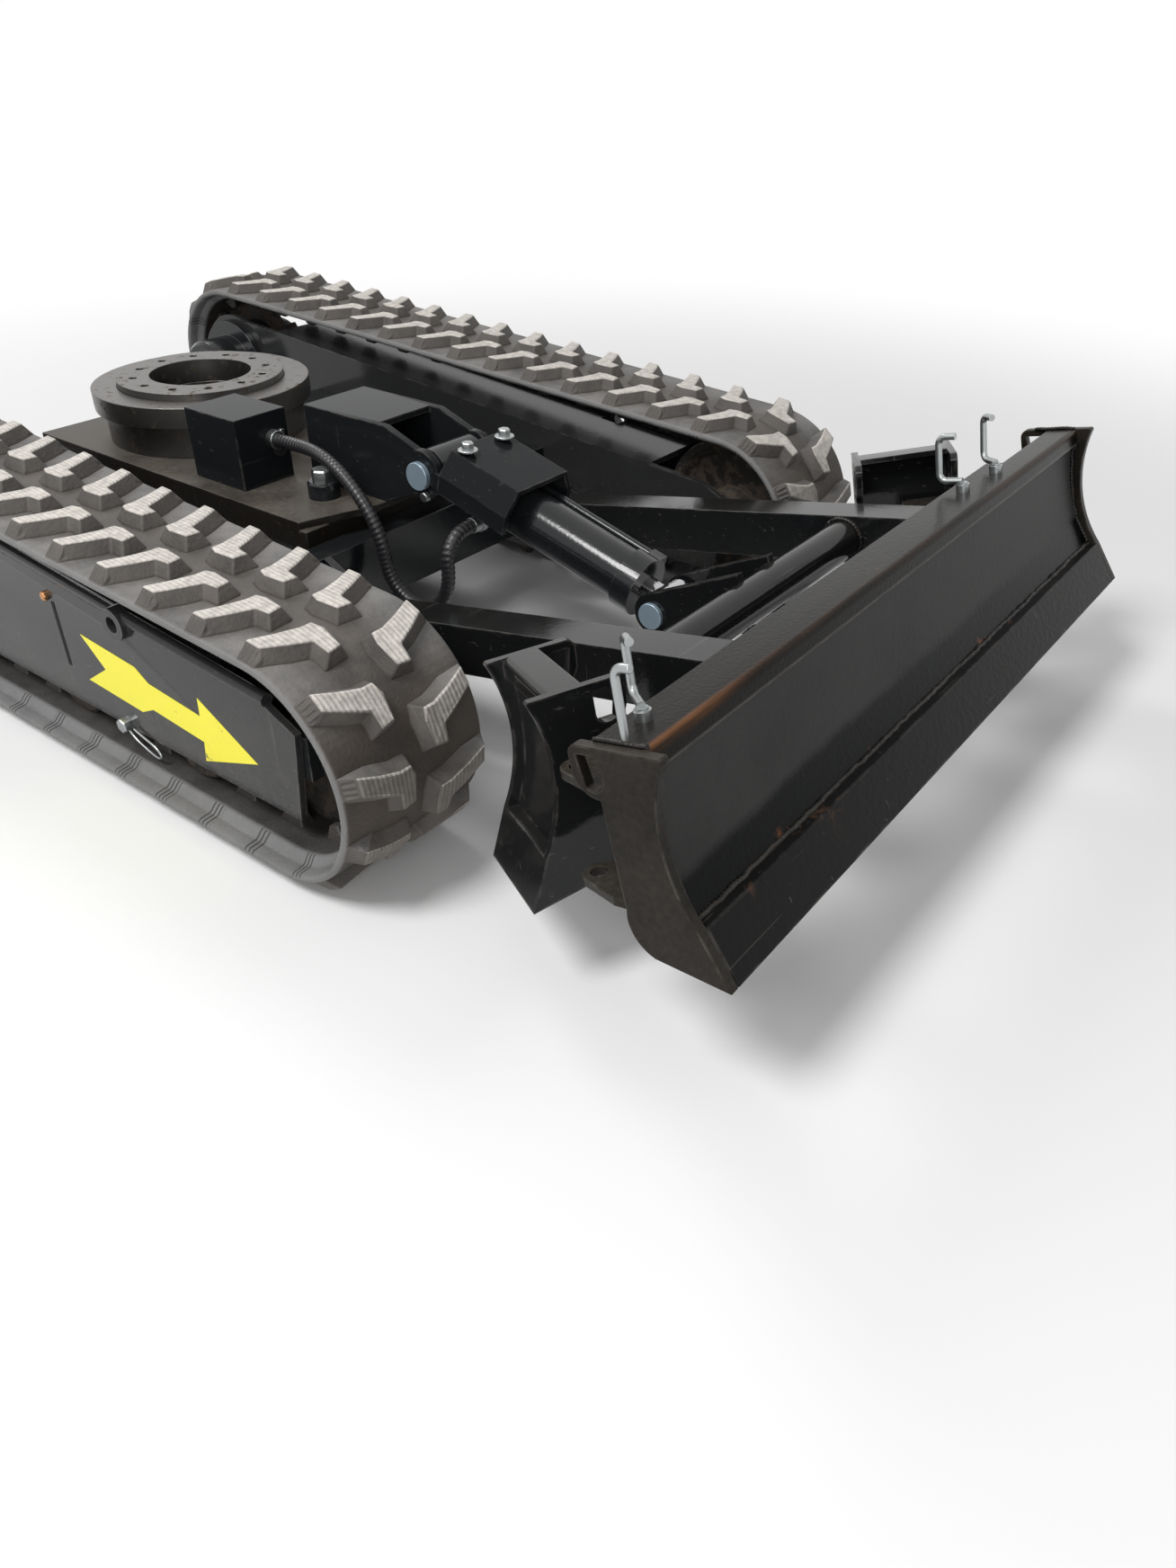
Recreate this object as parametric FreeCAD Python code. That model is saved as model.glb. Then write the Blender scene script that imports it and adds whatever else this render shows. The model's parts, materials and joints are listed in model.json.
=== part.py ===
import FreeCAD, Part
import math
import os

os.makedirs("parts", exist_ok=True)
V = FreeCAD.Vector

# Tracked undercarriage of a mini excavator, with its dozer blade and two folding blade wings.
# Millimetres and degrees. x points to the machine's left, y to its rear, z up from the ground.
# y is measured from a datum plane until the last lines, where everything is centred.

# Rubber tracks
overall_width = 948.0
belt_width = 180.0
belt_pitch = 72.0
belt_links = 38
belt_thickness = 18.0
neutral_depth = 13.0            # neutral line below the carcass's outer face
shoe_height = 16.0
shoe_foot = 34.0
shoe_top = 24.0
shoe_root = 3.0
idler_y = -452.0
idler_radius = 102.0            # to the belt's inner face
roller_radius = 50.0
roller_hub = 31.0
sprocket_teeth = 10
sprocket_z = 186.0
roller_to_sprocket = 165.0
roller_count = 4
first_roller_gap = 175.0        # behind the idler's axle
rolling_gap = 0.3

# Track frames
frame_plate = 8.0
frame_inset = 35.0              # outer plate's face inside the belt's edge
frame_inner_width = 112.0       # between the two side plates
frame_bottom = 62.0
frame_top_front = 184.0
frame_top_slope = 0.085
rail_radius = 7.0
lug_hole_radius = 9.0
lug_radius = 18.0
lug_drop = 3.5                  # lug's centre below the frame's top edge
lug_proud = 7.0                 # of the outer plate
lug_pocket = 26.0               # room behind the lug's hole, cut in the roof

# Centre frame
deck_top = 212.0
deck_half_width = 165.0
deck_front = -175.0
deck_nose = 20.0
deck_rear = 400.0
deck_plate = 10.0
frame_floor = 100.0
beam_top = 182.0
slew_y = 225.0
tower_radius = 138.0
tower_top = 255.0
slew_outer_radius = 150.0
slew_gap_radius = 115.0
slew_inner_radius = 70.0
slew_top = 283.0
slew_proud = 9.0
slew_bolt_pcd = 184.0
slew_bolt_count = 12
slew_bolt_radius = 5.5
swivel_radius = 44.0

# Blade, measured from its cutting edge: y rearward and z up with the blade level
blade_width = 900.0
blade_tip_y = -953.0
blade_tip_z = 139.0
blade_pitch = 12.4              # nose-up angle at rest
end_plate = 10.0
board_plate = 8.0
top_plate = 6.0
blade_height = 185.0
blade_depth = 114.0             # of the end plates
weld_y = 21.0                   # upper front corner of the cutting edge
weld_z = 46.0
edge_thickness = 12.0
plate_hollow_y = 42.0           # the end plates' front edge stands proud of the moldboard
plate_hollow_z = 110.0
plate_top_y = 31.0
board_low = 20.0
bend_y = 46.0
bend_z = 80.0
hollow_y = 52.5
hollow_z = 118.0
face_y = 53.0                   # top of the moldboard's curve, upright from there
face_z = 166.0
lip_front = 46.7                # folded front of the top plate
lip_low = 167.0
lip_radius = 7.0
top_depth = 98.0
top_step = 290.0                # the top plate is narrower beyond this x
top_narrow = 80.0
beam_rear = 94.0
beam_height = 28.0

# Arms and pivots
pivot_y = -270.0
pivot_z = 130.0
pin_radius = 12.0
pin_clearance = 0.05
arm_spread = 205.0
arm_width = 50.0
arm_depth = 55.0
seat_front = 62.0
arm_end_y = 70.0                # where the arms meet the blade's back, from the cutting edge
arm_end_z = 124.0
side_gap = 6.0
ear_plate = 10.0
tube_radius = 22.5
tube_wall = 5.0
tube_back = 155.0               # from the arms' front end
rear_tube_radius = 17.0
rear_tube_back = 76.0

# Blade cylinder
base_pin_y = -262.0
base_pin_z = 260.0
rod_pin_y = -592.0
rod_pin_z = 169.0
barrel_radius = 31.0
barrel_front_gap = 36.0
gland_length = 26.0
rod_radius = 15.0
rod_length = 190.0
eye_radius = 22.0
eye_half = 20.0
rod_pin_radius = 11.0
open_pivot_clearance = 3.0
bracket_gap = 42.0
bracket_plate = 10.0
bracket_rear = -60.0
bracket_top = 308.0
cover_half = 60.0
cover_plate = 6.0
cover_length = 140.0            # its front edge, from the base pin
cover_rear = 34.0
port_reach = 83.0
port_drop = 26.0
port_face = 27.0
nut_radius = 11.0
nut_length = 9.0
ferrule_length = 11.0
ferrule_radius = 9.5

# Wings, drawn in their working place at the blade's left end
wing_length = 118.0
wing_plate = 8.0
wing_gap = 7.0
wing_fold = 120.0
hinge_inset = 65.0              # hinge axis inside the blade's end
hinge_y = 96.0
hinge_radius = 8.0
knuckle_radius = 15.0
shelf_plate = 8.0
upper_shelf = 138.0
lower_shelf = 42.0
lock_inset = 35.0
lock_y = 139.0
lock_radius = 7.0
lock_land = 14.0

# Hose, box and lock pins
box_right = -138.0
box_left = -58.0
box_front = -30.0
box_rear = 70.0
box_top = 301.0
hose_radius = 8.5
gland_radius = 12.0
gland_reach = 12.0
c_pin_radius = 5.0
c_wire_radius = 3.5
c_leg = 25.0
c_rise = 46.0
c_reach = 18.0
c_bend = 8.0
hook_rise = 57.0
hook_reach = 15.0

# Values worked out from the sizes above
belt_x = (overall_width - belt_width) / 2
idler_outer = idler_radius + belt_thickness
idler_z = idler_outer + shoe_height
roller_outer = roller_radius + belt_thickness
roller_z = roller_outer + shoe_height
sprocket_outer = sprocket_teeth * belt_pitch / (2 * math.pi) + neutral_depth
plate_outer = belt_width / 2 - frame_inset
plate_inner = plate_outer - frame_plate - frame_inner_width - frame_plate
pivot = V(0, pivot_y, pivot_z)
base_pin = V(0, base_pin_y, base_pin_z)
rod_pin = V(0, rod_pin_y, rod_pin_z)
blade_tip = V(0, blade_tip_y, blade_tip_z)
half_blade = blade_width / 2
hinge_x = half_blade - hinge_inset


# Basic solids
def box(x0, x1, y0, y1, z0, z1):
    return Part.makeBox(x1 - x0, y1 - y0, z1 - z0, V(x0, y0, z0))


def rod_x(x0, x1, y, z, radius):
    return Part.makeCylinder(radius, x1 - x0, V(x0, y, z), V(1, 0, 0))


def post(x, y, z0, z1, radius):
    return Part.makeCylinder(radius, z1 - z0, V(x, y, z0), V(0, 0, 1))


def bar(start, end, radius):
    return Part.makeCylinder(radius, (end - start).Length, start, end - start)


def side_sheet(points, x0, x1):
    """A plate lying in a y-z plane, from its corners."""
    corners = [V(x0, y, z) for y, z in points]
    return Part.Face(Part.makePolygon(corners + corners[:1])).extrude(V(x1 - x0, 0, 0))


def flat_sheet(points, z0, z1):
    """A level plate, from its corners."""
    corners = [V(x, y, z0) for x, y in points]
    return Part.Face(Part.makePolygon(corners + corners[:1])).extrude(V(0, 0, z1 - z0))


def spin_x(profile, y, z):
    """A turned piece: profile points are (x, radius)."""
    corners = [V(x, y, z + r) for x, r in profile]
    return Part.Face(Part.makePolygon(corners + corners[:1])).revolve(V(0, y, z), V(1, 0, 0), 360)


def join(shapes):
    first, *rest = shapes
    return first.multiFuse(rest).removeSplitter()


def mirrored(shape):
    return shape.mirror(V(0, 0, 0), V(1, 0, 0))


def both(shape):
    return Part.makeCompound([shape, mirrored(shape)])


def on_blade(shape):
    """Take a shape drawn on the level blade to the blade's resting pose."""
    placed = shape.copy()
    placed.rotate(V(0, 0, 0), V(1, 0, 0), -blade_pitch)
    placed.translate(blade_tip)
    return placed


def blade_point(x, y, z):
    c = math.cos(math.radians(blade_pitch))
    s = math.sin(math.radians(blade_pitch))
    return blade_tip + V(x, y * c + z * s, z * c - y * s)


# Tracks: the belt wraps the idler, the last roller and the sprocket
def tangent_points(circles):
    """For each circle in turn, the angles at which the belt arrives on it and leaves it."""
    normals = []
    for (y1, z1, r1), (y2, z2, r2) in zip(circles, circles[1:] + circles[:1]):
        reach = math.hypot(y2 - y1, z2 - z1)
        lean = math.asin((r1 - r2) / reach)
        normals.append(math.atan2(z2 - z1, y2 - y1) - math.pi / 2 + lean)
    return [(normals[i - 1], normals[i]) for i in range(len(circles))]


def belt_circles(sprocket_y, inward):
    return [(idler_y, idler_z, idler_outer - inward),
            (sprocket_y - roller_to_sprocket, roller_z, roller_outer - inward),
            (sprocket_y, sprocket_z, sprocket_outer - inward)]


def belt_path(sprocket_y, inward):
    """The loop as stretches: ("arc", y, z, r, angle, turn) and ("run", start, end)."""
    circles = belt_circles(sprocket_y, inward)
    angles = tangent_points(circles)
    path = []
    for i, (y, z, r) in enumerate(circles):
        arrive, leave = angles[i]
        path.append(("arc", y, z, r, arrive, (leave - arrive) % (2 * math.pi)))
        y2, z2, r2 = circles[(i + 1) % len(circles)]
        start = (y + r * math.cos(leave), z + r * math.sin(leave))
        end = (y2 + r2 * math.cos(leave), z2 + r2 * math.sin(leave))
        path.append(("run", start, end, leave))
    return path


def stretch_length(stretch):
    if stretch[0] == "arc":
        return stretch[3] * stretch[5]
    return math.dist(stretch[1], stretch[2])


def path_point(path, distance, proud):
    """The point at a distance along the loop, standing proud of it, as (y, z)."""
    distance %= sum(stretch_length(s) for s in path)
    for stretch in path:
        length = stretch_length(stretch)
        if distance <= length:
            break
        distance -= length
    if stretch[0] == "arc":
        _, y, z, r, angle, turn = stretch
        angle += distance / r
        return (y + (r + proud) * math.cos(angle), z + (r + proud) * math.sin(angle))
    _, start, end, angle = stretch
    share = distance / length
    y = start[0] + (end[0] - start[0]) * share + proud * math.cos(angle)
    z = start[1] + (end[1] - start[1]) * share + proud * math.sin(angle)
    return (y, z)


def solve_sprocket_y():
    """Put the sprocket where the belt's neutral line is a whole number of links long."""
    near, far = idler_y + 500.0, idler_y + 2500.0
    for _ in range(60):
        middle = (near + far) / 2
        length = sum(stretch_length(s) for s in belt_path(middle, neutral_depth))
        if length < belt_links * belt_pitch:
            near = middle
        else:
            far = middle
    return middle


sprocket_y = solve_sprocket_y()
last_roller_y = sprocket_y - roller_to_sprocket


def smooth_loop(x, inward):
    edges = []
    for stretch in belt_path(sprocket_y, inward):
        if stretch[0] == "arc":
            _, y, z, r, angle, turn = stretch
            ends = [V(x, y + r * math.cos(a), z + r * math.sin(a))
                    for a in (angle, angle + turn / 2, angle + turn)]
            edges.append(Part.Arc(*ends).toShape())
        else:
            (y1, z1), (y2, z2) = stretch[1], stretch[2]
            edges.append(Part.makeLine(V(x, y1, z1), V(x, y2, z2)))
    return Part.Wire(edges)


def shoe(x, middle, path):
    """One shoe: a block across half the belt, rooted in the carcass."""
    profile = [(-shoe_foot / 2, 0), (-shoe_top / 2, shoe_height), (shoe_top / 2, shoe_height),
               (shoe_foot / 2, 0), (shoe_foot / 2, -shoe_root), (-shoe_foot / 2, -shoe_root)]
    corners = [V(x, *path_point(path, middle + along, proud)) for along, proud in profile]
    return Part.Face(Part.makePolygon(corners + corners[:1])).extrude(V(belt_width / 2, 0, 0))


def track_belt():
    """A closed band with two rows of shoes, half a pitch apart."""
    path = belt_path(sprocket_y, 0)
    pitch = sum(stretch_length(s) for s in path) / belt_links
    left_edge = belt_x - belt_width / 2
    band = Part.Face([smooth_loop(left_edge, 0), smooth_loop(left_edge, belt_thickness)])
    parts = [band.extrude(V(belt_width, 0, 0))]
    for x, phase in ((left_edge, 0.0), (belt_x, 0.5)):
        parts += [shoe(x, (link + phase) * pitch, path) for link in range(belt_links)]
    return join(parts)


def frame_top(y):
    return frame_top_front + frame_top_slope * (y - idler_y - 20)


def side_outline(reach):
    """A track frame's side plate, from its nose at the idler to its tail at the sprocket."""
    tail = sprocket_y - reach
    return [(idler_y - 6, frame_bottom), (last_roller_y + 10, frame_bottom),
            (tail - 20, roller_z + 40), (tail, sprocket_z), (tail, frame_top(tail)),
            (idler_y + 20, frame_top(idler_y + 20)), (idler_y - 19, frame_top_front - 18)]


def track_frame():
    outer_x = belt_x + plate_outer
    inner_x = belt_x + plate_inner
    tail = sprocket_y - 118
    plates = [side_sheet(side_outline(118), outer_x - frame_plate, outer_x),
              side_sheet(side_outline(118), inner_x, inner_x + frame_plate),
              rod_x(inner_x, inner_x + frame_plate, sprocket_y, sprocket_z, 84),
              side_sheet([(tail - 60, frame_bottom + 60), (sprocket_y, sprocket_z - 70),
                          (sprocket_y, sprocket_z + 80), (tail - 60, frame_top(tail - 60))],
                         inner_x, inner_x + frame_plate)]
    front, rear = idler_y + 20, tail
    roof_front = idler_y + idler_radius + 10
    roof = [(roof_front, frame_top(roof_front) - frame_plate), (rear, frame_top(rear) - frame_plate),
            (rear, frame_top(rear)), (roof_front, frame_top(roof_front))]
    plates.append(side_sheet(roof, inner_x, outer_x))
    rail_x = outer_x - frame_plate / 2
    rail = bar(V(rail_x, front, frame_top(front) + 5), V(rail_x, rear, frame_top(rear) + 5), rail_radius)
    lug_y = idler_y + 250
    lug_z = frame_top(lug_y) - lug_drop
    plates.append(rail.cut(rod_x(rail_x - 20, rail_x + 20, lug_y, lug_z, lug_radius - 1)))
    plates.append(rod_x(outer_x - frame_plate, outer_x + lug_proud, lug_y, lug_z, lug_radius))
    body = join(plates)
    body = body.cut(rod_x(outer_x - frame_plate - lug_pocket, outer_x - frame_plate,
                          lug_y, lug_z, lug_radius - 2))
    body = body.cut(rod_x(outer_x - 20, outer_x + lug_proud + 1, lug_y, lug_z, lug_hole_radius))
    motor_hole = rod_x(inner_x - 5, inner_x + frame_plate + 5, sprocket_y, sprocket_z, 60)
    return body.cut(motor_hole)


def roller_positions():
    first = idler_y + first_roller_gap
    step = (last_roller_y - first) / (roller_count - 1)
    return [first + step * i for i in range(roller_count)]


def bottom_rollers():
    r = roller_radius - rolling_gap
    half = frame_inner_width / 2
    centre = belt_x + plate_outer - frame_plate - half
    profile = [(-half, 0), (-half, 13), (-half + 3, 13), (-half + 3, r - 3), (-half + 6, r),
               (-half + 16, r), (-half + 20, roller_hub), (half - 20, roller_hub), (half - 16, r),
               (half - 6, r), (half - 3, r - 3), (half - 3, 13), (half, 13), (half, 0)]
    placed = [(centre + x, radius) for x, radius in profile]
    return Part.makeCompound([spin_x(placed, y, roller_z) for y in roller_positions()])


def frame_centre():
    return belt_x + plate_outer - frame_plate - frame_inner_width / 2


def idler():
    r = idler_radius - rolling_gap
    c = frame_centre()
    profile = [(-40, 14.3), (-40, 30), (-14, 34), (-14, r - 22), (-24, r - 10), (-24, r),
               (24, r), (24, r - 10), (14, r - 22), (14, 34), (40, 30), (40, 14.3)]
    return spin_x([(c + x, radius) for x, radius in profile], idler_y, idler_z)


def idler_yoke():
    c = frame_centre()
    half = frame_inner_width / 2 - rolling_gap
    back = idler_y + idler_radius + 12
    pieces = [rod_x(c - half, c + half, idler_y, idler_z, 14)]
    for x0, x1 in ((c - half, c - 42), (c + 42, c + half)):
        pieces.append(box(x0, x1, idler_y - 24, back + 14, idler_z - 24, idler_z + 24))
    pieces.append(box(c - half, c + half, back, back + 14, idler_z - 24, idler_z + 24))
    first_hub = idler_y + first_roller_gap - roller_hub
    pieces.append(bar(V(c, back + 10, idler_z), V(c, first_hub - 3, idler_z), 24))
    return join(pieces)


def sprocket():
    c = frame_centre()
    tip = sprocket_outer - belt_thickness - rolling_gap
    root = tip - 22
    corners = []
    for tooth in range(sprocket_teeth):
        middle = 2 * math.pi * tooth / sprocket_teeth
        for radius, share in ((root, -0.34), (tip, -0.13), (tip, 0.13), (root, 0.34)):
            angle = middle + 2 * math.pi * share / sprocket_teeth
            corners.append((sprocket_y + radius * math.cos(angle), sprocket_z + radius * math.sin(angle)))
    body = side_sheet(corners, c - 9, c + 9)
    return body.cut(rod_x(c - 20, c + 20, sprocket_y, sprocket_z, 45))


def travel_motor():
    c = frame_centre()
    plate = belt_x + plate_inner - c
    profile = [(plate - 75, 0), (plate - 75, 46), (plate - 68, 52), (plate - 12, 52), (plate - 12, 76),
               (plate, 76), (plate, 59.5), (plate + frame_plate, 59.5), (plate + frame_plate + 4, 68),
               (-9.1, 68), (-9.1, 44.9), (9.1, 44.9), (9.1, 62), (44, 62), (50, 56), (50, 0)]
    return spin_x([(c + x, radius) for x, radius in profile], sprocket_y, sprocket_z)


# Centre frame
def centre_frame():
    half = deck_half_width
    under = deck_top - deck_plate
    deck = flat_sheet([(-half, deck_front + 12), (-half + 100, deck_front - deck_nose),
                       (half - 100, deck_front - deck_nose), (half, deck_front + 12),
                       (half, deck_rear), (-half, deck_rear)], under, deck_top)
    walls = [box(-half, -half + 10, deck_front, deck_rear, frame_floor, under),
             box(half - 10, half, deck_front, deck_rear, frame_floor, under),
             box(-half, half, deck_front, deck_front + 10, frame_floor, under),
             box(-half, half, deck_rear - 10, deck_rear, frame_floor, under)]
    frame = join([deck] + walls)
    hole = post(0, slew_y, frame_floor, deck_top + 1, swivel_radius + 12)
    return frame.cut(hole)


def cross_members():
    inner = deck_half_width
    outer = belt_x + plate_inner
    beams = []
    for y0, y1 in ((deck_front + 25, deck_front + 115), (slew_y + 40, slew_y + 130)):
        beam = box(inner, outer, y0, y1, 108, 178)
        beams.append(beam.cut(box(inner - 1, outer + 1, y0 + 8, y1 - 8, 116, 170)))
    return Part.makeCompound(beams + [mirrored(b) for b in beams])


def slew_base():
    tower = post(0, slew_y, deck_top, tower_top, tower_radius)
    tower = tower.cut(post(0, slew_y, deck_top - 1, tower_top + 1, tower_radius - 14))
    ring = post(0, slew_y, tower_top, slew_top, slew_outer_radius)
    ring = ring.cut(post(0, slew_y, tower_top - 1, slew_top + 1, slew_gap_radius + rolling_gap))
    shelf = post(0, slew_y, tower_top, tower_top + 5, tower_radius)
    shelf = shelf.cut(post(0, slew_y, tower_top - 1, tower_top + 6, slew_inner_radius))
    return join([tower, ring, shelf])


def slew_ring():
    low = tower_top + 5 + rolling_gap
    high = slew_top + slew_proud
    ring = post(0, slew_y, low, high, slew_gap_radius)
    ring = ring.cut(post(0, slew_y, low - 1, high + 1, slew_inner_radius))
    for i in range(slew_bolt_count):
        angle = 2 * math.pi * i / slew_bolt_count
        x = slew_bolt_pcd / 2 * math.cos(angle)
        y = slew_y + slew_bolt_pcd / 2 * math.sin(angle)
        ring = ring.cut(post(x, y, low - 1, high + 1, slew_bolt_radius))
    return ring


def swivel_joint():
    top = slew_top - 20
    body = post(0, slew_y, frame_floor + 12, top - 12, swivel_radius)
    flange = post(0, slew_y, deck_top, deck_top + 10, swivel_radius + 30)
    cap = post(0, slew_y, top - 12, top, swivel_radius - 14)
    return join([body, flange, cap])


# Front beam with the lugs that carry the blade arms
def lug_faces():
    inner = arm_spread - arm_width / 2 - side_gap
    outer = arm_spread + arm_width / 2 + side_gap
    return ((inner - ear_plate, inner), (outer, outer + ear_plate))


beam_front = deck_front - 38.0


def front_beam():
    half = lug_faces()[1][1]
    beam = box(-half, half, beam_front, deck_front, frame_floor, beam_top)
    return beam.cut(box(-half - 1, half + 1, beam_front + 8, deck_front - 8, frame_floor + 8, beam_top - 8))


def pivot_lugs():
    """The four ears on the beam's face that hold the blade's pivot pins."""
    lugs = []
    for x0, x1 in lug_faces():
        nose = rod_x(x0, x1, pivot_y, pivot_z, 26)
        web = side_sheet([(beam_front, frame_floor), (beam_front, beam_top), (pivot_y + 4, pivot_z + 26),
                          (pivot_y - 10, pivot_z), (pivot_y + 4, pivot_z - 26)], x0, x1)
        bore = rod_x(x0 - 1, x1 + 1, pivot_y, pivot_z, pin_radius + pin_clearance)
        lugs.append(both(join([nose, web]).cut(bore)))
    return Part.makeCompound(lugs)


def blade_pivot_pins():
    inner = lug_faces()[0][0]
    outer = lug_faces()[1][1]
    pin = join([rod_x(inner - 3, outer + 2, pivot_y, pivot_z, pin_radius),
                rod_x(outer, outer + 6, pivot_y, pivot_z, pin_radius + 6)])
    return both(pin)


# Blade
def edge_back(z):
    """How far back the cutting edge's rear face stands at a height."""
    return edge_thickness + z * weld_y / weld_z


def board_line(inset):
    """The moldboard's front line from behind the cutting edge to the top, moved back by inset."""
    low = [(edge_back(z) + rolling_gap, z) for z in (board_low, weld_z)]
    high = [(bend_y, bend_z), (hollow_y, hollow_z), (face_y, face_z),
            (face_y, blade_height - top_plate - rolling_gap)]
    return [V(0, y + inset, z) for y, z in low + high]


def board_back(z):
    """How far back the moldboard's rear face stands at a height above the bend."""
    curve = Part.Arc(*board_line(board_plate)[2:5]).toShape().Curve
    return curve.Center.y + math.sqrt(curve.Radius ** 2 - (z - curve.Center.z) ** 2)


def board_edges(line):
    return [Part.makeLine(line[0], line[1]), Part.makeLine(line[1], line[2]),
            Part.Arc(*line[2:5]).toShape(), Part.makeLine(line[4], line[5])]


def moldboard(x0, x1):
    front = board_line(0)
    back = board_line(board_plate)
    edges = board_edges(front) + [Part.makeLine(front[5], back[5])]
    edges += board_edges(back)[::-1] + [Part.makeLine(back[0], front[0])]
    sheet = Part.Face(Part.Wire(edges)).extrude(V(x1 - x0, 0, 0))
    sheet.translate(V(x0, 0, 0))
    return sheet


def cutting_edge(x0, x1):
    return side_sheet([(0, 0), (edge_thickness, 0), (weld_y + edge_thickness, weld_z),
                       (weld_y, weld_z)], x0, x1)


def lip(x0, x1):
    """The top plate's front strip, folded down over the moldboard's upper edge."""
    def at(y, z):
        return V(x0, y, z)
    top, r = blade_height, lip_radius
    bend = at(lip_front + 0.293 * r, top - 0.293 * r)
    edges = [Part.makeLine(at(lip_front, lip_low), at(lip_front, top - r)),
             Part.Arc(at(lip_front, top - r), bend, at(lip_front + r, top)).toShape(),
             Part.makeLine(at(lip_front + r, top), at(face_y + 10, top)),
             Part.makeLine(at(face_y + 10, top), at(face_y + 10, top - top_plate)),
             Part.makeLine(at(face_y + 10, top - top_plate), at(lip_front + top_plate, top - top_plate)),
             Part.makeLine(at(lip_front + top_plate, top - top_plate), at(lip_front + top_plate, lip_low)),
             Part.makeLine(at(lip_front + top_plate, lip_low), at(lip_front, lip_low))]
    return Part.Face(Part.Wire(edges)).extrude(V(x1 - x0, 0, 0))


def top_beam(x0, x1, step):
    """The top plate with its lip, full depth over a channel as far as the step and narrower beyond."""
    low = blade_height - beam_height
    under = blade_height - top_plate
    floor_front = board_back(low) + rolling_gap
    plates = [lip(x0, x1)]
    if step > x0:
        plates += [box(x0, step, face_y + 5, top_depth, under, blade_height),
                   box(x0, step, beam_rear - top_plate, beam_rear, low, under),
                   box(x0, step, floor_front, beam_rear, low, low + top_plate)]
    if step < x1:
        plates.append(box(step, x1, face_y + 5, top_narrow, under, blade_height))
    return join(plates)


def end_plate_sheet(x0, x1):
    """An end plate with its hooked rear ear and D-shaped slot."""
    def at(y, z):
        return V(x0, y, z)
    ear = 9.0
    tip_cut = 2.0
    edges = [Part.makeLine(at(0, 0), at(weld_y, weld_z)),
             Part.Arc(at(weld_y, weld_z), at(plate_hollow_y, plate_hollow_z),
                      at(plate_top_y, blade_height - tip_cut)).toShape(),
             Part.makeLine(at(plate_top_y, blade_height - tip_cut), at(plate_top_y + tip_cut, blade_height)),
             Part.makeLine(at(plate_top_y + tip_cut, blade_height), at(blade_depth - ear, blade_height)),
             Part.Arc(at(blade_depth - ear, blade_height),
                      at(blade_depth - 0.29 * ear, blade_height - 0.29 * ear),
                      at(blade_depth, blade_height - ear)).toShape(),
             Part.makeLine(at(blade_depth, blade_height - ear), at(blade_depth - 1, 160)),
             Part.Arc(at(blade_depth - 1, 160), at(106, 148), at(91, 142)).toShape(),
             Part.makeLine(at(91, 142), at(86, 50)),
             Part.Arc(at(86, 50), at(80, 22), at(66, 11)).toShape(),
             Part.makeLine(at(66, 11), at(0, 0))]
    plate = Part.Face(Part.Wire(edges)).extrude(V(x1 - x0, 0, 0))
    slot_edges = [Part.makeLine(at(107, 177), at(86, 177)),
                  Part.makeLine(at(86, 177), at(86, 160)),
                  Part.Arc(at(86, 160), at(91, 150), at(102, 151)).toShape(),
                  Part.makeLine(at(102, 151), at(107, 177))]
    slot = Part.Face(Part.Wire(slot_edges)).extrude(V(x1 - x0 + 2, 0, 0))
    slot.translate(V(-1, 0, 0))
    return plate.cut(slot)


def arm():
    """One blade arm: a box tube from its round pivot end to the blade's back."""
    front = blade_point(0, arm_end_y, arm_end_z)
    along = (front - pivot).normalize()
    up = V(0, -along.z, along.y) * -1
    square = blade_point(0, 1, 0) - blade_point(0, 0, 0)
    face = blade_point(0, arm_end_y, 0)
    corners = [(pivot + up * (arm_depth / 2)), (pivot - up * (arm_depth / 2))]
    for start in (pivot - up * (arm_depth / 2), pivot + up * (arm_depth / 2)):
        reach = (face - start).dot(square) / along.dot(square)
        corners.append(start + along * reach)
    x0, x1 = arm_spread - arm_width / 2, arm_spread + arm_width / 2
    beam = side_sheet([(c.y, c.z) for c in corners], x0, x1)
    beam = join([beam, rod_x(x0, x1, pivot_y, pivot_z, arm_depth / 2)])
    return beam.cut(rod_x(x0 - 1, x1 + 1, pivot_y, pivot_z, pin_radius + pin_clearance))


def arm_line_point(back):
    front = blade_point(0, arm_end_y, arm_end_z)
    along = (pivot - front).normalize()
    return front + along * back


def arm_seat():
    """The upright plate on the blade's back that an arm is welded to."""
    top = blade_height - beam_height
    x0, x1 = arm_spread - arm_width / 2 - 12, arm_spread + arm_width / 2 + 12
    return box(x0, x1, seat_front, arm_end_y, 60, top)


def blade_cross_tubes():
    inner = arm_spread - arm_width / 2
    tubes = []
    for radius, back in ((tube_radius, tube_back), (rear_tube_radius, rear_tube_back)):
        centre = arm_line_point(back)
        tube = rod_x(-inner, inner, centre.y, centre.z, radius)
        tubes.append(tube.cut(rod_x(-inner - 1, inner + 1, centre.y, centre.z, radius - tube_wall)))
    return Part.makeCompound(tubes)


def rod_clevis():
    """Two ears welded to the larger tube, holding the rod pin."""
    centre = arm_line_point(tube_back)
    along = (centre - rod_pin).normalize()
    across = V(0, along.z, -along.y)
    first = eye_half + side_gap
    ears = []
    for x0, x1 in ((first, first + ear_plate), (-first - ear_plate, -first)):
        web = [rod_pin + across * 24, rod_pin - across * 24, centre - across * 32, centre + across * 32]
        ear = join([side_sheet([(p.y, p.z) for p in web], x0, x1),
                    rod_x(x0, x1, rod_pin_y, rod_pin_z, 24)])
        ear = ear.cut(rod_x(x0 - 1, x1 + 1, centre.y, centre.z, tube_radius))
        ears.append(ear.cut(rod_x(x0 - 1, x1 + 1, rod_pin_y, rod_pin_z, rod_pin_radius + pin_clearance)))
    return Part.makeCompound(ears)


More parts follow.
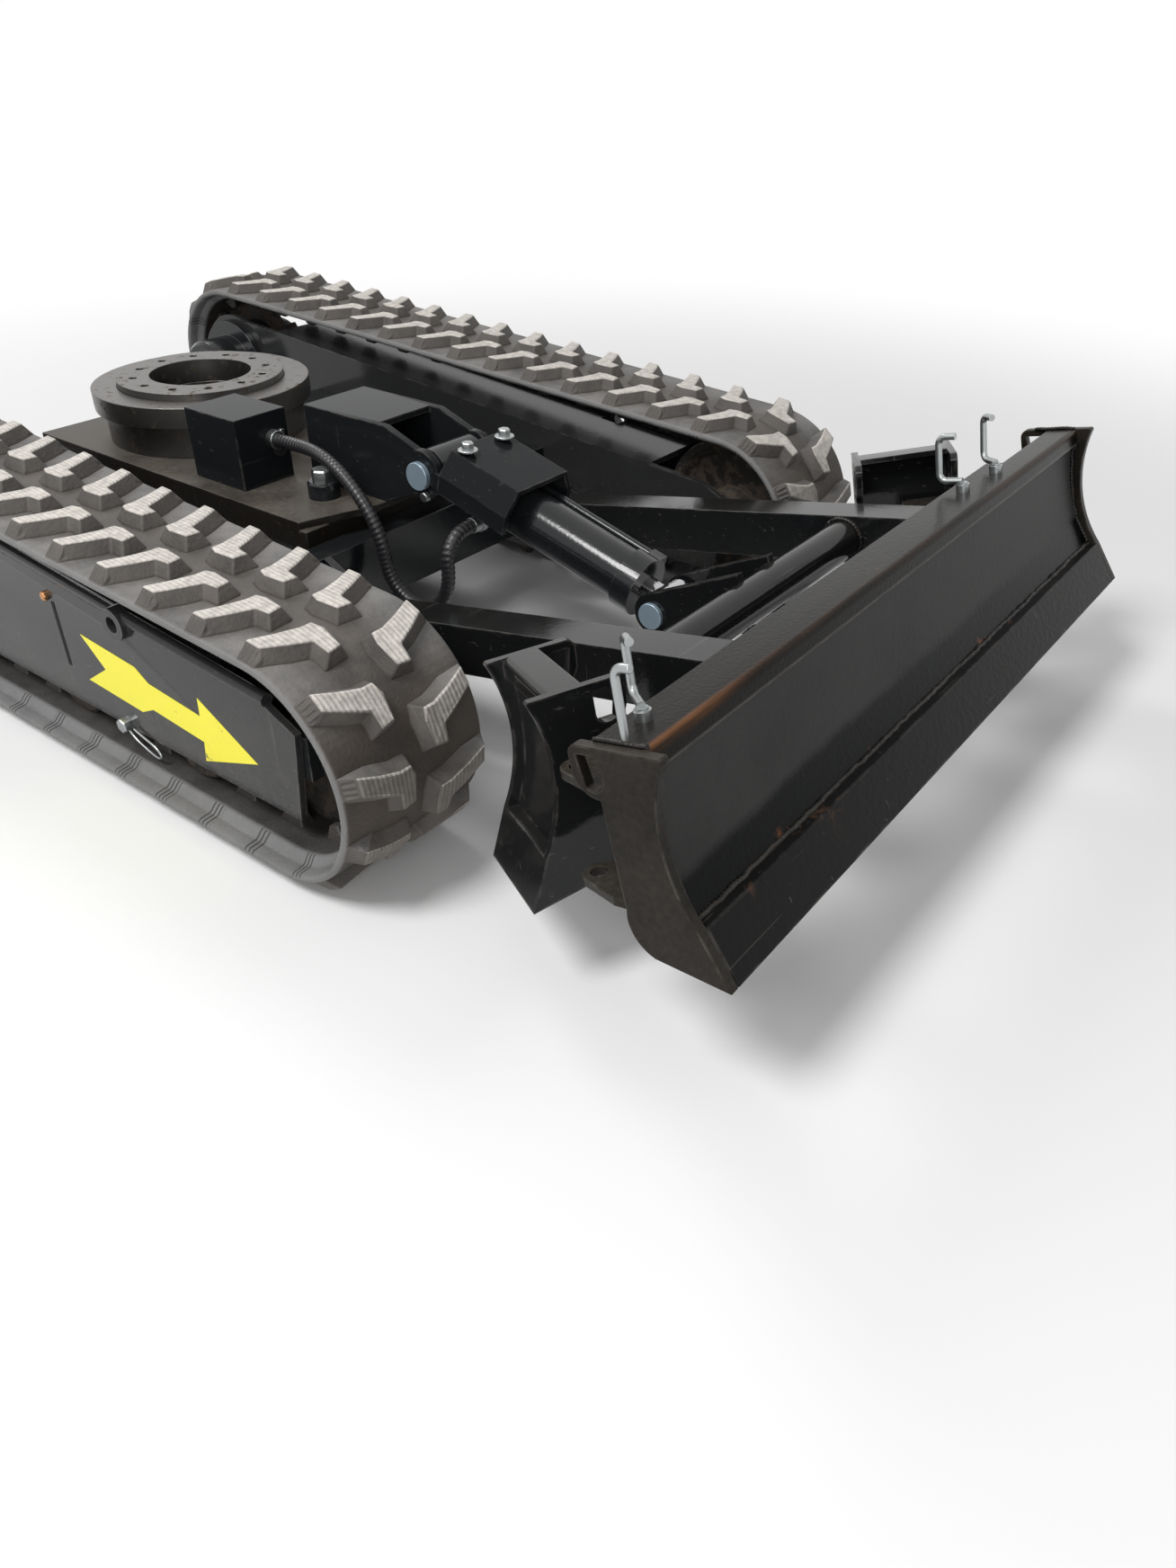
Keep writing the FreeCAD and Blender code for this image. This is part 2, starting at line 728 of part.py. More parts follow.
def rod_pin_piece():
    half = eye_half + side_gap + ear_plate
    return join([rod_x(-half, half + 4, rod_pin_y, rod_pin_z, rod_pin_radius),
                 rod_x(-half - 6, -half, rod_pin_y, rod_pin_z, rod_pin_radius + 4)])


# Blade cylinder, drawn along -y from its base pin and then turned down to the rod pin
cylinder_span = (rod_pin - base_pin).Length
cylinder_slope = math.degrees(math.atan2(base_pin_z - rod_pin_z, base_pin_y - rod_pin_y))


def on_cylinder(shape):
    placed = shape.copy()
    placed.rotate(V(0, 0, 0), V(1, 0, 0), cylinder_slope)
    placed.translate(base_pin)
    return placed


def cylinder_barrel():
    front = -(cylinder_span - barrel_front_gap)
    bottom = -34.0
    tube = bar(V(0, bottom, 0), V(0, front, 0), barrel_radius)
    gland = bar(V(0, front + gland_length, 0), V(0, front, 0), barrel_radius + 4)
    eye = rod_x(-bracket_gap + side_gap, bracket_gap - side_gap, 0, 0, 27)
    neck = box(-20, 20, bottom - 2, 0, -22, 22)
    pipe = bar(V(32, -74, 20), V(32, front + 12, 20), 5)
    blocks = [box(14, 37, -84, -64, 12, 26), box(14, 37, front + 4, front + 22, 12, 26)]
    port = rod_x(-port_face, -10, -port_reach, -port_drop, 10)
    body = join([tube, gland, eye, neck, pipe, port] + blocks)
    body = body.cut(bar(V(0, -60, 0), V(0, front - 1, 0), rod_radius + pin_clearance))
    return on_cylinder(body.cut(rod_x(-60, 60, 0, 0, pin_radius + pin_clearance)))


def cylinder_rod():
    span = cylinder_span
    eye = rod_x(-eye_half, eye_half, -span, 0, eye_radius)
    shaft = bar(V(0, -span, 0), V(0, -span + rod_length, 0), rod_radius)
    body = join([eye, shaft])
    return on_cylinder(body.cut(rod_x(-40, 40, -span, 0, rod_pin_radius + open_pivot_clearance)))


def cylinder_base_pin():
    half = bracket_gap + bracket_plate
    pin = rod_x(-half - 2, half + 4, base_pin_y, base_pin_z, pin_radius)
    return join([pin, rod_x(-half - 8, -half, base_pin_y, base_pin_z, pin_radius + 5)])


def cylinder_bracket():
    """Two upright plates on the deck, tied by a sloping top plate, that hold the base pin."""
    plates = []
    nose = deck_front - deck_nose
    for x0 in (bracket_gap, -bracket_gap - bracket_plate):
        x1 = x0 + bracket_plate
        outline = [(bracket_rear, deck_top), (bracket_rear, bracket_top), (-205, bracket_top),
                   (base_pin_y + 6, base_pin_z + 30), (base_pin_y - 20, base_pin_z + 20),
                   (base_pin_y - 20, base_pin_z - 20), (base_pin_y + 20, base_pin_z - 30), (nose, deck_top)]
        plates.append(join([side_sheet(outline, x0, x1), rod_x(x0, x1, base_pin_y, base_pin_z, 30)]))
    top = box(-bracket_gap, bracket_gap, -190, bracket_rear, bracket_top - 8, bracket_top)
    back = box(-bracket_gap, bracket_gap, bracket_rear - 10, bracket_rear, deck_top, bracket_top - 8)
    body = join(plates + [top, back])
    return body.cut(rod_x(-70, 70, base_pin_y, base_pin_z, pin_radius + pin_clearance))


def cylinder_cover():
    """A folded cover over the cylinder's rear end."""
    outer = [(cover_half, -3), (cover_half, 20), (cover_half - 16, 49), (-cover_half + 16, 49),
             (-cover_half, 20), (-cover_half, -3)]
    t = cover_plate
    inner = [(-cover_half + t, -3), (-cover_half + t, 18.5), (-cover_half + 19.5, 49 - t),
             (cover_half - 19.5, 49 - t), (cover_half - t, 18.5), (cover_half - t, -3)]
    corners = [V(x, -cover_length, z) for x, z in outer + inner]
    cover = Part.Face(Part.makePolygon(corners + corners[:1])).extrude(V(0, cover_length - cover_rear, 0))
    side = bracket_gap + bracket_plate
    tab = box(side, cover_half - t + 1, -60, -pin_radius - 8, -3, 16)
    return on_cylinder(join([cover, tab, mirrored(tab)]))


# Wings
def wing_blade():
    start = half_blade + wing_gap
    end = start + wing_length
    plates = [end_plate_sheet(start, start + wing_plate), end_plate_sheet(end - wing_plate, end)]
    inside = [moldboard(start + wing_plate, end - wing_plate),
              cutting_edge(start + wing_plate, end - wing_plate),
              top_beam(start + wing_plate, end - wing_plate, start + wing_plate)]
    return join(plates + inside)


def wing_bracket():
    """Two neck plates that pass behind the end plate, on the knuckle that turns on the hinge pin."""
    start = half_blade + wing_gap + wing_plate
    reach = start + 55
    knuckle_low = lower_shelf + shelf_plate + rolling_gap
    knuckle_high = upper_shelf - rolling_gap
    neck = [(hinge_x - 10, hinge_y), (hinge_x - 10, hinge_y + 14), (hinge_x + 7, hinge_y + 34),
            (reach, hinge_y + 34), (reach, 72), (start, 72), (start, hinge_y + 14),
            (hinge_x + 27, hinge_y + 14), (hinge_x + 12, hinge_y)]
    pieces = [post(hinge_x, hinge_y, knuckle_low, knuckle_high, knuckle_radius)]
    for z0 in (62.0, 118.0):
        pieces.append(flat_sheet(neck, z0, z0 + 8))
    pieces.append(box(reach - 8, reach, 72, hinge_y + 34, 62, 126))
    body = join(pieces)
    return body.cut(post(hinge_x, hinge_y, 0, 200, hinge_radius + pin_clearance))


def fold(shape, angle=wing_fold):
    turned = shape.copy()
    turned.rotate(V(hinge_x, hinge_y, 0), V(0, 0, 1), angle)
    return turned


def shelf(z0):
    """A plate behind the blade's end with the hinge hole and the lock hole."""
    lock_x = half_blade - lock_inset
    inside = half_blade - end_plate
    land = [(inside, seat_front), (inside, hinge_y + 10), (lock_x + 13, lock_y + 5),
            (lock_x - 13, lock_y + 5), (hinge_x - 18, hinge_y + 4), (hinge_x - 18, seat_front)]
    plate = join([flat_sheet(land, z0, z0 + shelf_plate), post(lock_x, lock_y, z0, z0 + shelf_plate, lock_land),
                  post(hinge_x, hinge_y, z0, z0 + shelf_plate, 18)])
    plate = plate.cut(post(lock_x, lock_y, z0 - 1, z0 + shelf_plate + 1, lock_radius))
    return plate.cut(post(hinge_x, hinge_y, z0 - 1, z0 + shelf_plate + 1, hinge_radius + pin_clearance))


def hinge_shelves():
    plates = [shelf(lower_shelf), shelf(upper_shelf)]
    return Part.makeCompound(plates + [mirrored(p) for p in plates])


def c_handle(x, y, foot, turn):
    """A C-shaped wire handle on top of a pin."""
    start = V(x, y, foot)
    points = [start, start + V(c_leg, 0, 0), start + V(c_leg, 0, c_rise), start + V(c_leg - c_reach, 0, c_rise)]
    handle = rounded_tube(points, [c_bend, c_bend], c_wire_radius)
    handle.rotate(V(x, y, 0), V(0, 0, 1), turn)
    return handle


def hinge_pin():
    head = upper_shelf + shelf_plate
    return join([post(hinge_x, hinge_y, lower_shelf - 10, head + 6, hinge_radius),
                 post(hinge_x, hinge_y, head, head + 6, hinge_radius + 5)])


def lock_pin(x, y, turn):
    """A straight pin with a collar and a handle."""
    top = blade_height
    return join([post(x, y, top - 10, top + 10, c_pin_radius), post(x, y, top, top + 8, c_pin_radius + 2),
                 c_handle(x, y, top + 11, turn)])


def wire_hook(x, y):
    """A bent wire standing in the top plate."""
    foot = V(x, y, blade_height - 10)
    head = foot + V(0, 0, 10 + hook_rise)
    return rounded_tube([foot, head, head - V(0, hook_reach, 0)], [c_bend], c_wire_radius)


def rounded_tube(points, radii, radius):
    """A round bar along straight runs joined by tangent arcs."""
    edges = []
    start = points[0]
    for before, corner, after, bend in zip(points, points[1:], points[2:], radii):
        inward = (corner - before).normalize()
        outward = (after - corner).normalize()
        half_turn = inward.getAngle(outward) / 2
        setback = bend * math.tan(half_turn)
        arrive = corner - inward * setback
        leave = corner + outward * setback
        bisector = (outward - inward).normalize()
        centre = corner + bisector * (bend / math.cos(half_turn))
        middle = centre - bisector * bend
        edges.append(Part.makeLine(start, arrive))
        edges.append(Part.Arc(arrive, middle, leave).toShape())
        start = leave
    edges.append(Part.makeLine(start, points[-1]))
    path = Part.Wire(edges)
    first = (points[1] - points[0]).normalize()
    section = Part.Wire(Part.Circle(points[0], first, radius).toShape())
    return path.makePipeShell([section], True, False)


# Where the pins stand in the top plate: x, y on the blade, and the handle's heading
lock_pin_places = [(-half_blade + 50, 81, 50), (half_blade - 200, 73, 50), (half_blade - 273, 80, 90)]
hook_place = (-half_blade + 14, 70)


def top_holes():
    holes = [post(x, y, blade_height - 20, blade_height + 1, c_pin_radius + pin_clearance)
             for x, y, _ in lock_pin_places]
    return holes + [post(*hook_place, blade_height - 20, blade_height + 1, c_wire_radius + pin_clearance)]


# Hose from the box on the deck to the cylinder's port
port = on_cylinder(Part.Vertex(V(-port_face, -port_reach, -port_drop))).Point
hose_exit = V((box_right + box_left) / 2 + 14, box_front, 267)
hose_end = port - V(nut_length + ferrule_length, 0, 0)
hose_route = [hose_exit + V(0, -gland_reach, 0), hose_exit + V(0, -gland_reach - 32, 0),
              V(-90, -112, 271), V(-96, -152, 266), V(-101, -190, 249), V(-102, -220, 220),
              V(-101, -236, 184), V(-100, -239, 149), V(-98, -252, 126), V(-96, -274, 113),
              V(-94, -300, 113), V(-93, -322, 126), V(-92, -334, 148), V(-91, -336, 169),
              V(-90.8, -335.5, 187.6), V(-81.5, -335.2, 203.6), hose_end - V(18.5, 0, 0), hose_end]


def hose_radii():
    """Each bend as wide as its two runs allow."""
    radii = []
    for before, corner, after in zip(hose_route, hose_route[1:], hose_route[2:]):
        half_turn = (corner - before).getAngle(after - corner) / 2
        shorter = min((corner - before).Length, (after - corner).Length)
        radii.append(0.45 * shorter / math.tan(half_turn))
    return radii


def hose_gland():
    return bar(hose_exit, hose_exit + V(0, -gland_reach, 0), gland_radius)


def hose_fitting():
    nut_end = port - V(nut_length, 0, 0)
    return join([bar(port, nut_end, nut_radius), bar(nut_end, hose_end, ferrule_radius)])


# Build every piece
pieces = {
    "centre_frame": centre_frame(),
    "cross_members": cross_members(),
    "front_beam": front_beam(),
    "pivot_lugs": pivot_lugs(),
    "slew_base": slew_base(),
    "slew_ring": slew_ring(),
    "swivel_joint": swivel_joint(),
    "blade_pivot_pins": blade_pivot_pins(),
    "cylinder_bracket": cylinder_bracket(),
    "cylinder_cover": cylinder_cover(),
    "cylinder_base_pin": cylinder_base_pin(),
    "hose_box": box(box_right, box_left, box_front, box_rear, deck_top, box_top),
    "hose_gland": hose_gland(),
    "hose_fitting": hose_fitting(),
    "blade_hose": rounded_tube(hose_route, hose_radii(), hose_radius),
    "cylinder_barrel": cylinder_barrel(),
    "cylinder_rod": cylinder_rod(),
    "rod_pin": rod_pin_piece(),
    "blade_cross_tubes": blade_cross_tubes(),
    "rod_clevis": rod_clevis(),
    "hinge_shelves": on_blade(hinge_shelves()),
    "hinge_pins": on_blade(both(hinge_pin())),
    "lock_pins": on_blade(Part.makeCompound([lock_pin(*place) for place in lock_pin_places])),
    "wire_hook": on_blade(wire_hook(*hook_place)),
}

inside = half_blade - end_plate
top = top_beam(-inside, inside, top_step)
for hole in top_holes():
    top = top.cut(hole)
pieces["blade_top_beam"] = on_blade(top)
pieces["blade_moldboard"] = on_blade(moldboard(-inside, inside))
pieces["blade_cutting_edge"] = on_blade(cutting_edge(-inside, inside))
pieces["blade_arm_seats"] = on_blade(both(arm_seat()))

for side, place in (("left", lambda s: s), ("right", mirrored)):
    pieces["track_belt_" + side] = place(track_belt())
    pieces["track_frame_" + side] = place(track_frame())
    pieces["idler_" + side] = place(idler())
    pieces["idler_yoke_" + side] = place(idler_yoke())
    pieces["sprocket_" + side] = place(sprocket())
    pieces["travel_motor_" + side] = place(travel_motor())
    pieces["bottom_rollers_" + side] = place(bottom_rollers())
    pieces["blade_arm_" + side] = place(arm())
    pieces["blade_end_plate_" + side] = on_blade(place(end_plate_sheet(inside, half_blade)))
    pieces["wing_blade_" + side] = on_blade(place(fold(wing_blade())))
    pieces["wing_bracket_" + side] = on_blade(place(fold(wing_bracket())))

# Centre the machine on its own length, with the ground at z = 0
front_end = blade_tip_y
rear_end = sprocket_y + sprocket_outer + shoe_height
to_origin = V(0, -(front_end + rear_end) / 2, 0)

for name, shape in pieces.items():
    placed = shape.copy()
    placed.translate(to_origin)
    placed.exportStep("parts/" + name + ".step")

print("sprocket y", round(sprocket_y, 1), "shift", round(to_origin.y, 3), "nodes", len(pieces))
print("hose bend radii", [round(r, 1) for r in hose_radii()])

runs = sum((b - a).Length for a, b in zip(hose_route, hose_route[1:]))
section_area = math.pi * hose_radius ** 2
print("hose route", round(runs, 1), "volume over section", round(pieces["blade_hose"].Volume / section_area, 1))
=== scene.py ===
import json
import math

import bmesh
import bpy
from mathutils import Matrix, Vector, noise


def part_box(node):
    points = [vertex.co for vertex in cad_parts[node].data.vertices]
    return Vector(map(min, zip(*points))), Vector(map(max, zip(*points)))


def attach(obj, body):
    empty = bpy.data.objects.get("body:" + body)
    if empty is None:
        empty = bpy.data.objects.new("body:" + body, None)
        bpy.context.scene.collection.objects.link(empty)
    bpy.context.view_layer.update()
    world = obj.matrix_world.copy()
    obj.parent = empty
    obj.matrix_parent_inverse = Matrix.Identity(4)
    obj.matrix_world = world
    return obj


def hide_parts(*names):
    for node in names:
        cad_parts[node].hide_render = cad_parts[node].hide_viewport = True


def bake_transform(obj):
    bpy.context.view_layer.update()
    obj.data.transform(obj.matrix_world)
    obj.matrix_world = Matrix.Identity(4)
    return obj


# Tracked undercarriage with its dozer blade and folding blade wings.
# Metres. x points to the machine's left, y to its rear, z up from the ground.
# Places written in millimetres are measured from the machine's own datum plane, as its source does.

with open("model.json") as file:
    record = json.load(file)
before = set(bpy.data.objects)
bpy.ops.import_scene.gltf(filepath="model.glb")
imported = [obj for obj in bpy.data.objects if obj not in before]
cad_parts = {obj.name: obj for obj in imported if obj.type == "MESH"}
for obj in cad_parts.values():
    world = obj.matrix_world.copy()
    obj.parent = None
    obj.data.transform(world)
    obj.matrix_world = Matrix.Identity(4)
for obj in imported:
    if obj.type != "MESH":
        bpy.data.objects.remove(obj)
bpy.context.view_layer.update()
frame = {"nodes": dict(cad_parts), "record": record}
record = frame["record"]
millimetre = 0.001
sides = (("left", 1), ("right", -1))


def middleOf(node):
    low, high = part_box(node)
    return (low + high) / 2


# The pivot pins lie this far in front of the datum plane.
pinsFromDatum = 0.270
datumOffset = middleOf("blade_pivot_pins").y + pinsFromDatum


# A place in the machine's millimetres, in the frame's metres.
def at(x, y, z):
    return Vector((x * millimetre, y * millimetre + datumOffset, z * millimetre))


# Camera: its place in the machine's millimetres, its turn and tilt in degrees, its lens in millimetres
camera = {"place": (-964, -1220, 722), "turn": -52.29, "tilt": 34.90, "lens": 25.67,
          "sensor": 36, "near": 0.01}


def makeCamera():
    turn, tilt = math.radians(camera["turn"]), math.radians(camera["tilt"])
    back = Vector((math.sin(turn) * math.cos(tilt), -math.cos(turn) * math.cos(tilt), math.sin(tilt)))
    right = Vector((math.cos(turn), math.sin(turn), 0))
    up = back.cross(right)
    data = bpy.data.cameras.new("camera")
    data.sensor_fit = "VERTICAL"
    data.sensor_height = camera["sensor"]
    data.lens = camera["lens"]
    data.clip_start = camera["near"]
    eye = bpy.data.objects.new("camera", data)
    facing = Matrix((right, up, back)).transposed().to_4x4()
    eye.matrix_world = Matrix.Translation(at(*camera["place"])) @ facing
    bpy.context.scene.collection.objects.link(eye)
    bpy.context.scene.camera = eye


makeCamera()
print("camera placed")

# Small tools for shader trees. An input named i0 or i1 is a socket taken by its number.


def addNode(tree, kind, settings=None, **inputs):
    node = tree.nodes.new(kind)
    for name, value in (settings or {}).items():
        setattr(node, name, value)
    for name, value in inputs.items():
        byNumber = name[0] == "i" and name[1:].isdigit()
        socket = node.inputs[int(name[1:]) if byNumber else name]
        if isinstance(value, bpy.types.NodeSocket):
            tree.links.new(value, socket)
        else:
            socket.default_value = value
    return node


# A shader node group with these float or colour inputs, and its first and last nodes.
def makeGroup(name, inputs, outputs):
    tree = bpy.data.node_groups.new(name, "ShaderNodeTree")
    for label, value in inputs.items():
        kind = "NodeSocketColor" if isinstance(value, tuple) else "NodeSocketFloat"
        tree.interface.new_socket(label, in_out="INPUT", socket_type=kind).default_value = value
    for label in outputs:
        tree.interface.new_socket(label, in_out="OUTPUT", socket_type="NodeSocketFloat")
    return tree, tree.nodes.new("NodeGroupInput"), tree.nodes.new("NodeGroupOutput")


def math2(tree, operation, a, b, clamp=False):
    settings = {"operation": operation, "use_clamp": clamp}
    return addNode(tree, "ShaderNodeMath", settings, i0=a, i1=b).outputs[0]


def times(tree, a, b, clamp=False):
    return math2(tree, "MULTIPLY", a, b, clamp)


# base + value * factor
def plusShare(tree, base, value, factor, clamp=False):
    return math2(tree, "ADD", base, times(tree, value, factor), clamp)


# A smooth step: 0 below low and 1 above high
def ramp(tree, value, low, high):
    settings = {"clamp": True, "interpolation_type": "SMOOTHSTEP"}
    node = addNode(tree, "ShaderNodeMapRange", settings, Value=value)
    node.inputs["From Min"].default_value = low
    node.inputs["From Max"].default_value = high
    return node.outputs["Result"]


def noiseValue(tree, scale, detail=4.0, stretch=None, roughness=0.6):
    place = addNode(tree, "ShaderNodeTexCoord").outputs["Object"]
    if stretch:
        place = addNode(tree, "ShaderNodeMapping", Vector=place, Scale=stretch).outputs[0]
    node = addNode(tree, "ShaderNodeTexNoise", Vector=place, Scale=scale, Detail=detail, Roughness=roughness)
    return node.outputs[0]


# Sockets of a colour mix: 0 is the share, 6 and 7 are the colours, and output 2 is the result.
def mixColor(tree, share, a, b):
    node = addNode(tree, "ShaderNodeMix", {"data_type": "RGBA"})
    for index, value in ((0, share), (6, a), (7, b)):
        if isinstance(value, bpy.types.NodeSocket):
            tree.links.new(value, node.inputs[index])
        else:
            node.inputs[index].default_value = value
    return node.outputs[2]


# Effects shared by the materials. Each gives a mask or a height.


# 1 where paint has rubbed off the edges.
def makeEdgeWear():
    tree, start, end = makeGroup("edgeWear", {"Width": 0.004, "Amount": 0.5}, ["Mask"])
    bevel = addNode(tree, "ShaderNodeBevel", {"samples": 4}, Radius=start.outputs["Width"])
    flat = addNode(tree, "ShaderNodeNewGeometry").outputs["Normal"]
    dot = addNode(tree, "ShaderNodeVectorMath", {"operation": "DOT_PRODUCT"}, i0=bevel.outputs[0], i1=flat)
    edge = ramp(tree, math2(tree, "SUBTRACT", 1.0, dot.outputs["Value"]), 0.02, 0.16)
    patches = ramp(tree, noiseValue(tree, 38, 6), 0.42, 0.62)
    mask = times(tree, times(tree, edge, patches), start.outputs["Amount"], True)
    tree.links.new(mask, end.inputs["Mask"])
    return tree


# 1 where dry dust lies, in cloudy patches: on faces that look up, and at least Everywhere's share on all.
def makeDust():
    tree, start, end = makeGroup("dust", {"Amount": 0.5, "Everywhere": 0.15}, ["Mask"])
    normal = addNode(tree, "ShaderNodeNewGeometry").outputs["Normal"]
    upward = ramp(tree, addNode(tree, "ShaderNodeSeparateXYZ", i0=normal).outputs["Z"], 0.15, 0.95)
    lift = math2(tree, "MAXIMUM", upward, start.outputs["Everywhere"])
    cloud = ramp(tree, noiseValue(tree, 9, 8), 0.28, 0.68)
    fine = ramp(tree, noiseValue(tree, 160, 3), 0.25, 0.75)
    body = times(tree, lift, plusShare(tree, 0.35, cloud, 0.65))
    body = times(tree, body, plusShare(tree, 0.6, fine, 0.4))
    mask = times(tree, body, start.outputs["Amount"], True)
    tree.links.new(mask, end.inputs["Mask"])
    return tree


# 1 where mud has splashed up from the ground and dried.
def makeSplash():
    tree, start, end = makeGroup("splash", {"Height": 0.18, "Amount": 0.6}, ["Mask"])
    place = addNode(tree, "ShaderNodeTexCoord").outputs["Object"]
    height = addNode(tree, "ShaderNodeSeparateXYZ", i0=place).outputs["Z"]
    low = math2(tree, "SUBTRACT", 1.0, math2(tree, "DIVIDE", height, start.outputs["Height"]), True)
    spots = ramp(tree, noiseValue(tree, 60, 8, roughness=0.75), 0.5, 0.6)
    clouds = ramp(tree, noiseValue(tree, 11, 5), 0.4, 0.75)
    both = math2(tree, "MAXIMUM", times(tree, spots, 0.7), clouds)
    mask = times(tree, times(tree, low, both), start.outputs["Amount"], True)
    tree.links.new(mask, end.inputs["Mask"])
    return tree


# 1 in rusty patches.
def makeRust():
    tree, start, end = makeGroup("rust", {"Scale": 30.0, "Amount": 0.5}, ["Mask"])
    place = addNode(tree, "ShaderNodeTexCoord").outputs["Object"]
    cells = addNode(tree, "ShaderNodeTexNoise", Vector=place, Scale=start.outputs["Scale"], Detail=8.0,
                    Roughness=0.7)
    edge = math2(tree, "SUBTRACT", 0.72, times(tree, start.outputs["Amount"], 0.3))
    mask = times(tree, math2(tree, "SUBTRACT", cells.outputs[0], edge), 14.0, True)
    tree.links.new(mask, end.inputs["Mask"])
    return tree


# 1 along fine scratches that run across the machine and up it.
def makeScratches():
    tree, start, end = makeGroup("scratches", {"Amount": 0.5}, ["Mask"])
    across = ramp(tree, noiseValue(tree, 30, 3, (0.12, 3.0, 6.0)), 0.66, 0.7)
    upward = ramp(tree, noiseValue(tree, 30, 3, (5.0, 4.0, 0.15)), 0.69, 0.72)
    mask = times(tree, math2(tree, "MAXIMUM", across, upward), start.outputs["Amount"], True)
    tree.links.new(mask, end.inputs["Mask"])
    return tree


# The height of paint's orange peel, or of a cast or dusty surface.
def makeGrain():
    tree, start, end = makeGroup("grain", {"Scale": 300.0}, ["Height"])
    place = addNode(tree, "ShaderNodeTexCoord").outputs["Object"]
    grain = addNode(tree, "ShaderNodeTexNoise", Vector=place, Scale=start.outputs["Scale"], Detail=4.0)
    tree.links.new(grain.outputs[0], end.inputs["Height"])
    return tree


effects = {"edgeWear": makeEdgeWear(), "dust": makeDust(), "splash": makeSplash(), "rust": makeRust(),
           "scratches": makeScratches(), "grain": makeGrain()}


def effect(tree, name, **inputs):
    return addNode(tree, "ShaderNodeGroup", {"node_tree": effects[name]}, **inputs).outputs[0]


def startMaterial(name):
    material = bpy.data.materials.new(name)
    material.use_nodes = True
    tree = material.node_tree
    return material, tree, tree.nodes["Principled BSDF"]


def feed(tree, shader, **values):
    names = {"color": "Base Color", "roughness": "Roughness", "metallic": "Metallic", "alpha": "Alpha",
             "specular": "Specular IOR Level"}
    for key, value in values.items():
        socket = shader.inputs[names[key]]
        if isinstance(value, bpy.types.NodeSocket):
            tree.links.new(value, socket)
        else:
            socket.default_value = value


def bump(tree, shader, height, distance):
    node = addNode(tree, "ShaderNodeBump", Height=height, Distance=distance)
    tree.links.new(node.outputs[0], shader.inputs["Normal"])


# Colours that several finishes share: dry dust, bare or rusty steel
shared = {"dust": (0.17, 0.15, 0.125, 1), "rust": (0.16, 0.06, 0.022, 1), "bare": (0.22, 0.20, 0.18, 1)}

# Glossy dark paint. wear, dust, splash, rust and scratches are amounts from 0 to 1.
paints = {
    "black_paint": {"color": (0.010, 0.0115, 0.013, 1), "gloss": 0.15, "wear": 0.3, "dust": 0.05,
                    "film": 0.012, "splash": 0.06, "rust": 0.05, "scratches": 0.08, "specular": 0.4},
    "frame_paint": {"color": (0.024, 0.0245, 0.0255, 1), "gloss": 0.11, "wear": 0.3, "dust": 0.07,
                    "film": 0.03, "splash": 0.3, "rust": 0.05, "scratches": 0.1, "specular": 0.28},
    "deck_paint": {"color": (0.012, 0.010, 0.0085, 1), "gloss": 0.2, "wear": 0.35, "dust": 0.75,
                   "film": 0.05, "splash": 0.1, "rust": 0.1, "scratches": 0.1, "specular": 0.15},
    "box_paint": {"color": (0.011, 0.0125, 0.014, 1), "gloss": 0.14, "wear": 0.45, "dust": 0.04,
                  "film": 0.004, "splash": 0.08, "rust": 0.06, "scratches": 0.1, "specular": 0.08},
    "arm_paint": {"color": (0.008, 0.0085, 0.009, 1), "gloss": 0.10, "wear": 0.4, "dust": 0.08,
                  "film": 0.02, "splash": 0.1, "rust": 0.12, "scratches": 0.15, "specular": 0.3},
}


def makePaint(name):
    look = paints[name]
    material, tree, shader = startMaterial(name)
    dust = effect(tree, "dust", Amount=look["dust"], Everywhere=look["film"])
    splash = effect(tree, "splash", Amount=look["splash"])
    wear = effect(tree, "edgeWear", Amount=look["wear"])
    rust = effect(tree, "rust", Amount=look["rust"])
    scratches = effect(tree, "scratches", Amount=look["scratches"])
    color = mixColor(tree, scratches, look["color"], shared["bare"])
    color = mixColor(tree, wear, color, shared["bare"])
    color = mixColor(tree, times(tree, rust, 0.8), color, shared["rust"])
    dirt = math2(tree, "MAXIMUM", dust, splash)
    color = mixColor(tree, dirt, color, shared["dust"])
    roughness = plusShare(tree, look["gloss"], dirt, 0.6, True)
    feed(tree, shader, color=color, roughness=roughness, specular=look["specular"])
    bump(tree, shader, effect(tree, "grain", Scale=230.0), 0.0001)
    return material


# The blade's paint changes with height on the blade, which stands pitched at rest. Its front is painted light grey
# above the bend as painted sheen, and near black below it as painted shade.
blade = {"tip": (0, -953, 139), "pitch": 12.4, "bend": 80, "specular": 0.08,
         "sheet": (0.042, 0.041, 0.040, 1), "band": (0.001, 0.0014, 0.0018, 1),
         "dark": (0.0055, 0.0045, 0.0035, 1), "primer": (0.27, 0.11, 0.04, 1),
         "scratch": (0.05, 0.045, 0.04, 1), "lipHighlight": (0.42, 0.38, 0.34, 1)}
bladeTurn = Matrix.Rotation(math.radians(-blade["pitch"]), 4, "X")


# A place on the blade, in millimetres from its cutting edge, in the frame's metres.
def onBlade(x, y, z):
    return at(*blade["tip"]) + bladeTurn @ Vector((x, y, z)) * millimetre


# The shaded point's place on the blade, in millimetres.
def bladePlace(tree):
    place = addNode(tree, "ShaderNodeTexCoord").outputs["Object"]
    moved = addNode(tree, "ShaderNodeVectorMath", {"operation": "SUBTRACT"}, i0=place, i1=at(*blade["tip"]))
    turned = addNode(tree, "ShaderNodeVectorRotate", {"rotation_type": "X_AXIS"}, Vector=moved.outputs[0],
                     Angle=math.radians(blade["pitch"]))
    scaled = addNode(tree, "ShaderNodeVectorMath", {"operation": "SCALE"}, i0=turned.outputs[0], Scale=1000)
    return addNode(tree, "ShaderNodeSeparateXYZ", i0=scaled.outputs[0]).outputs


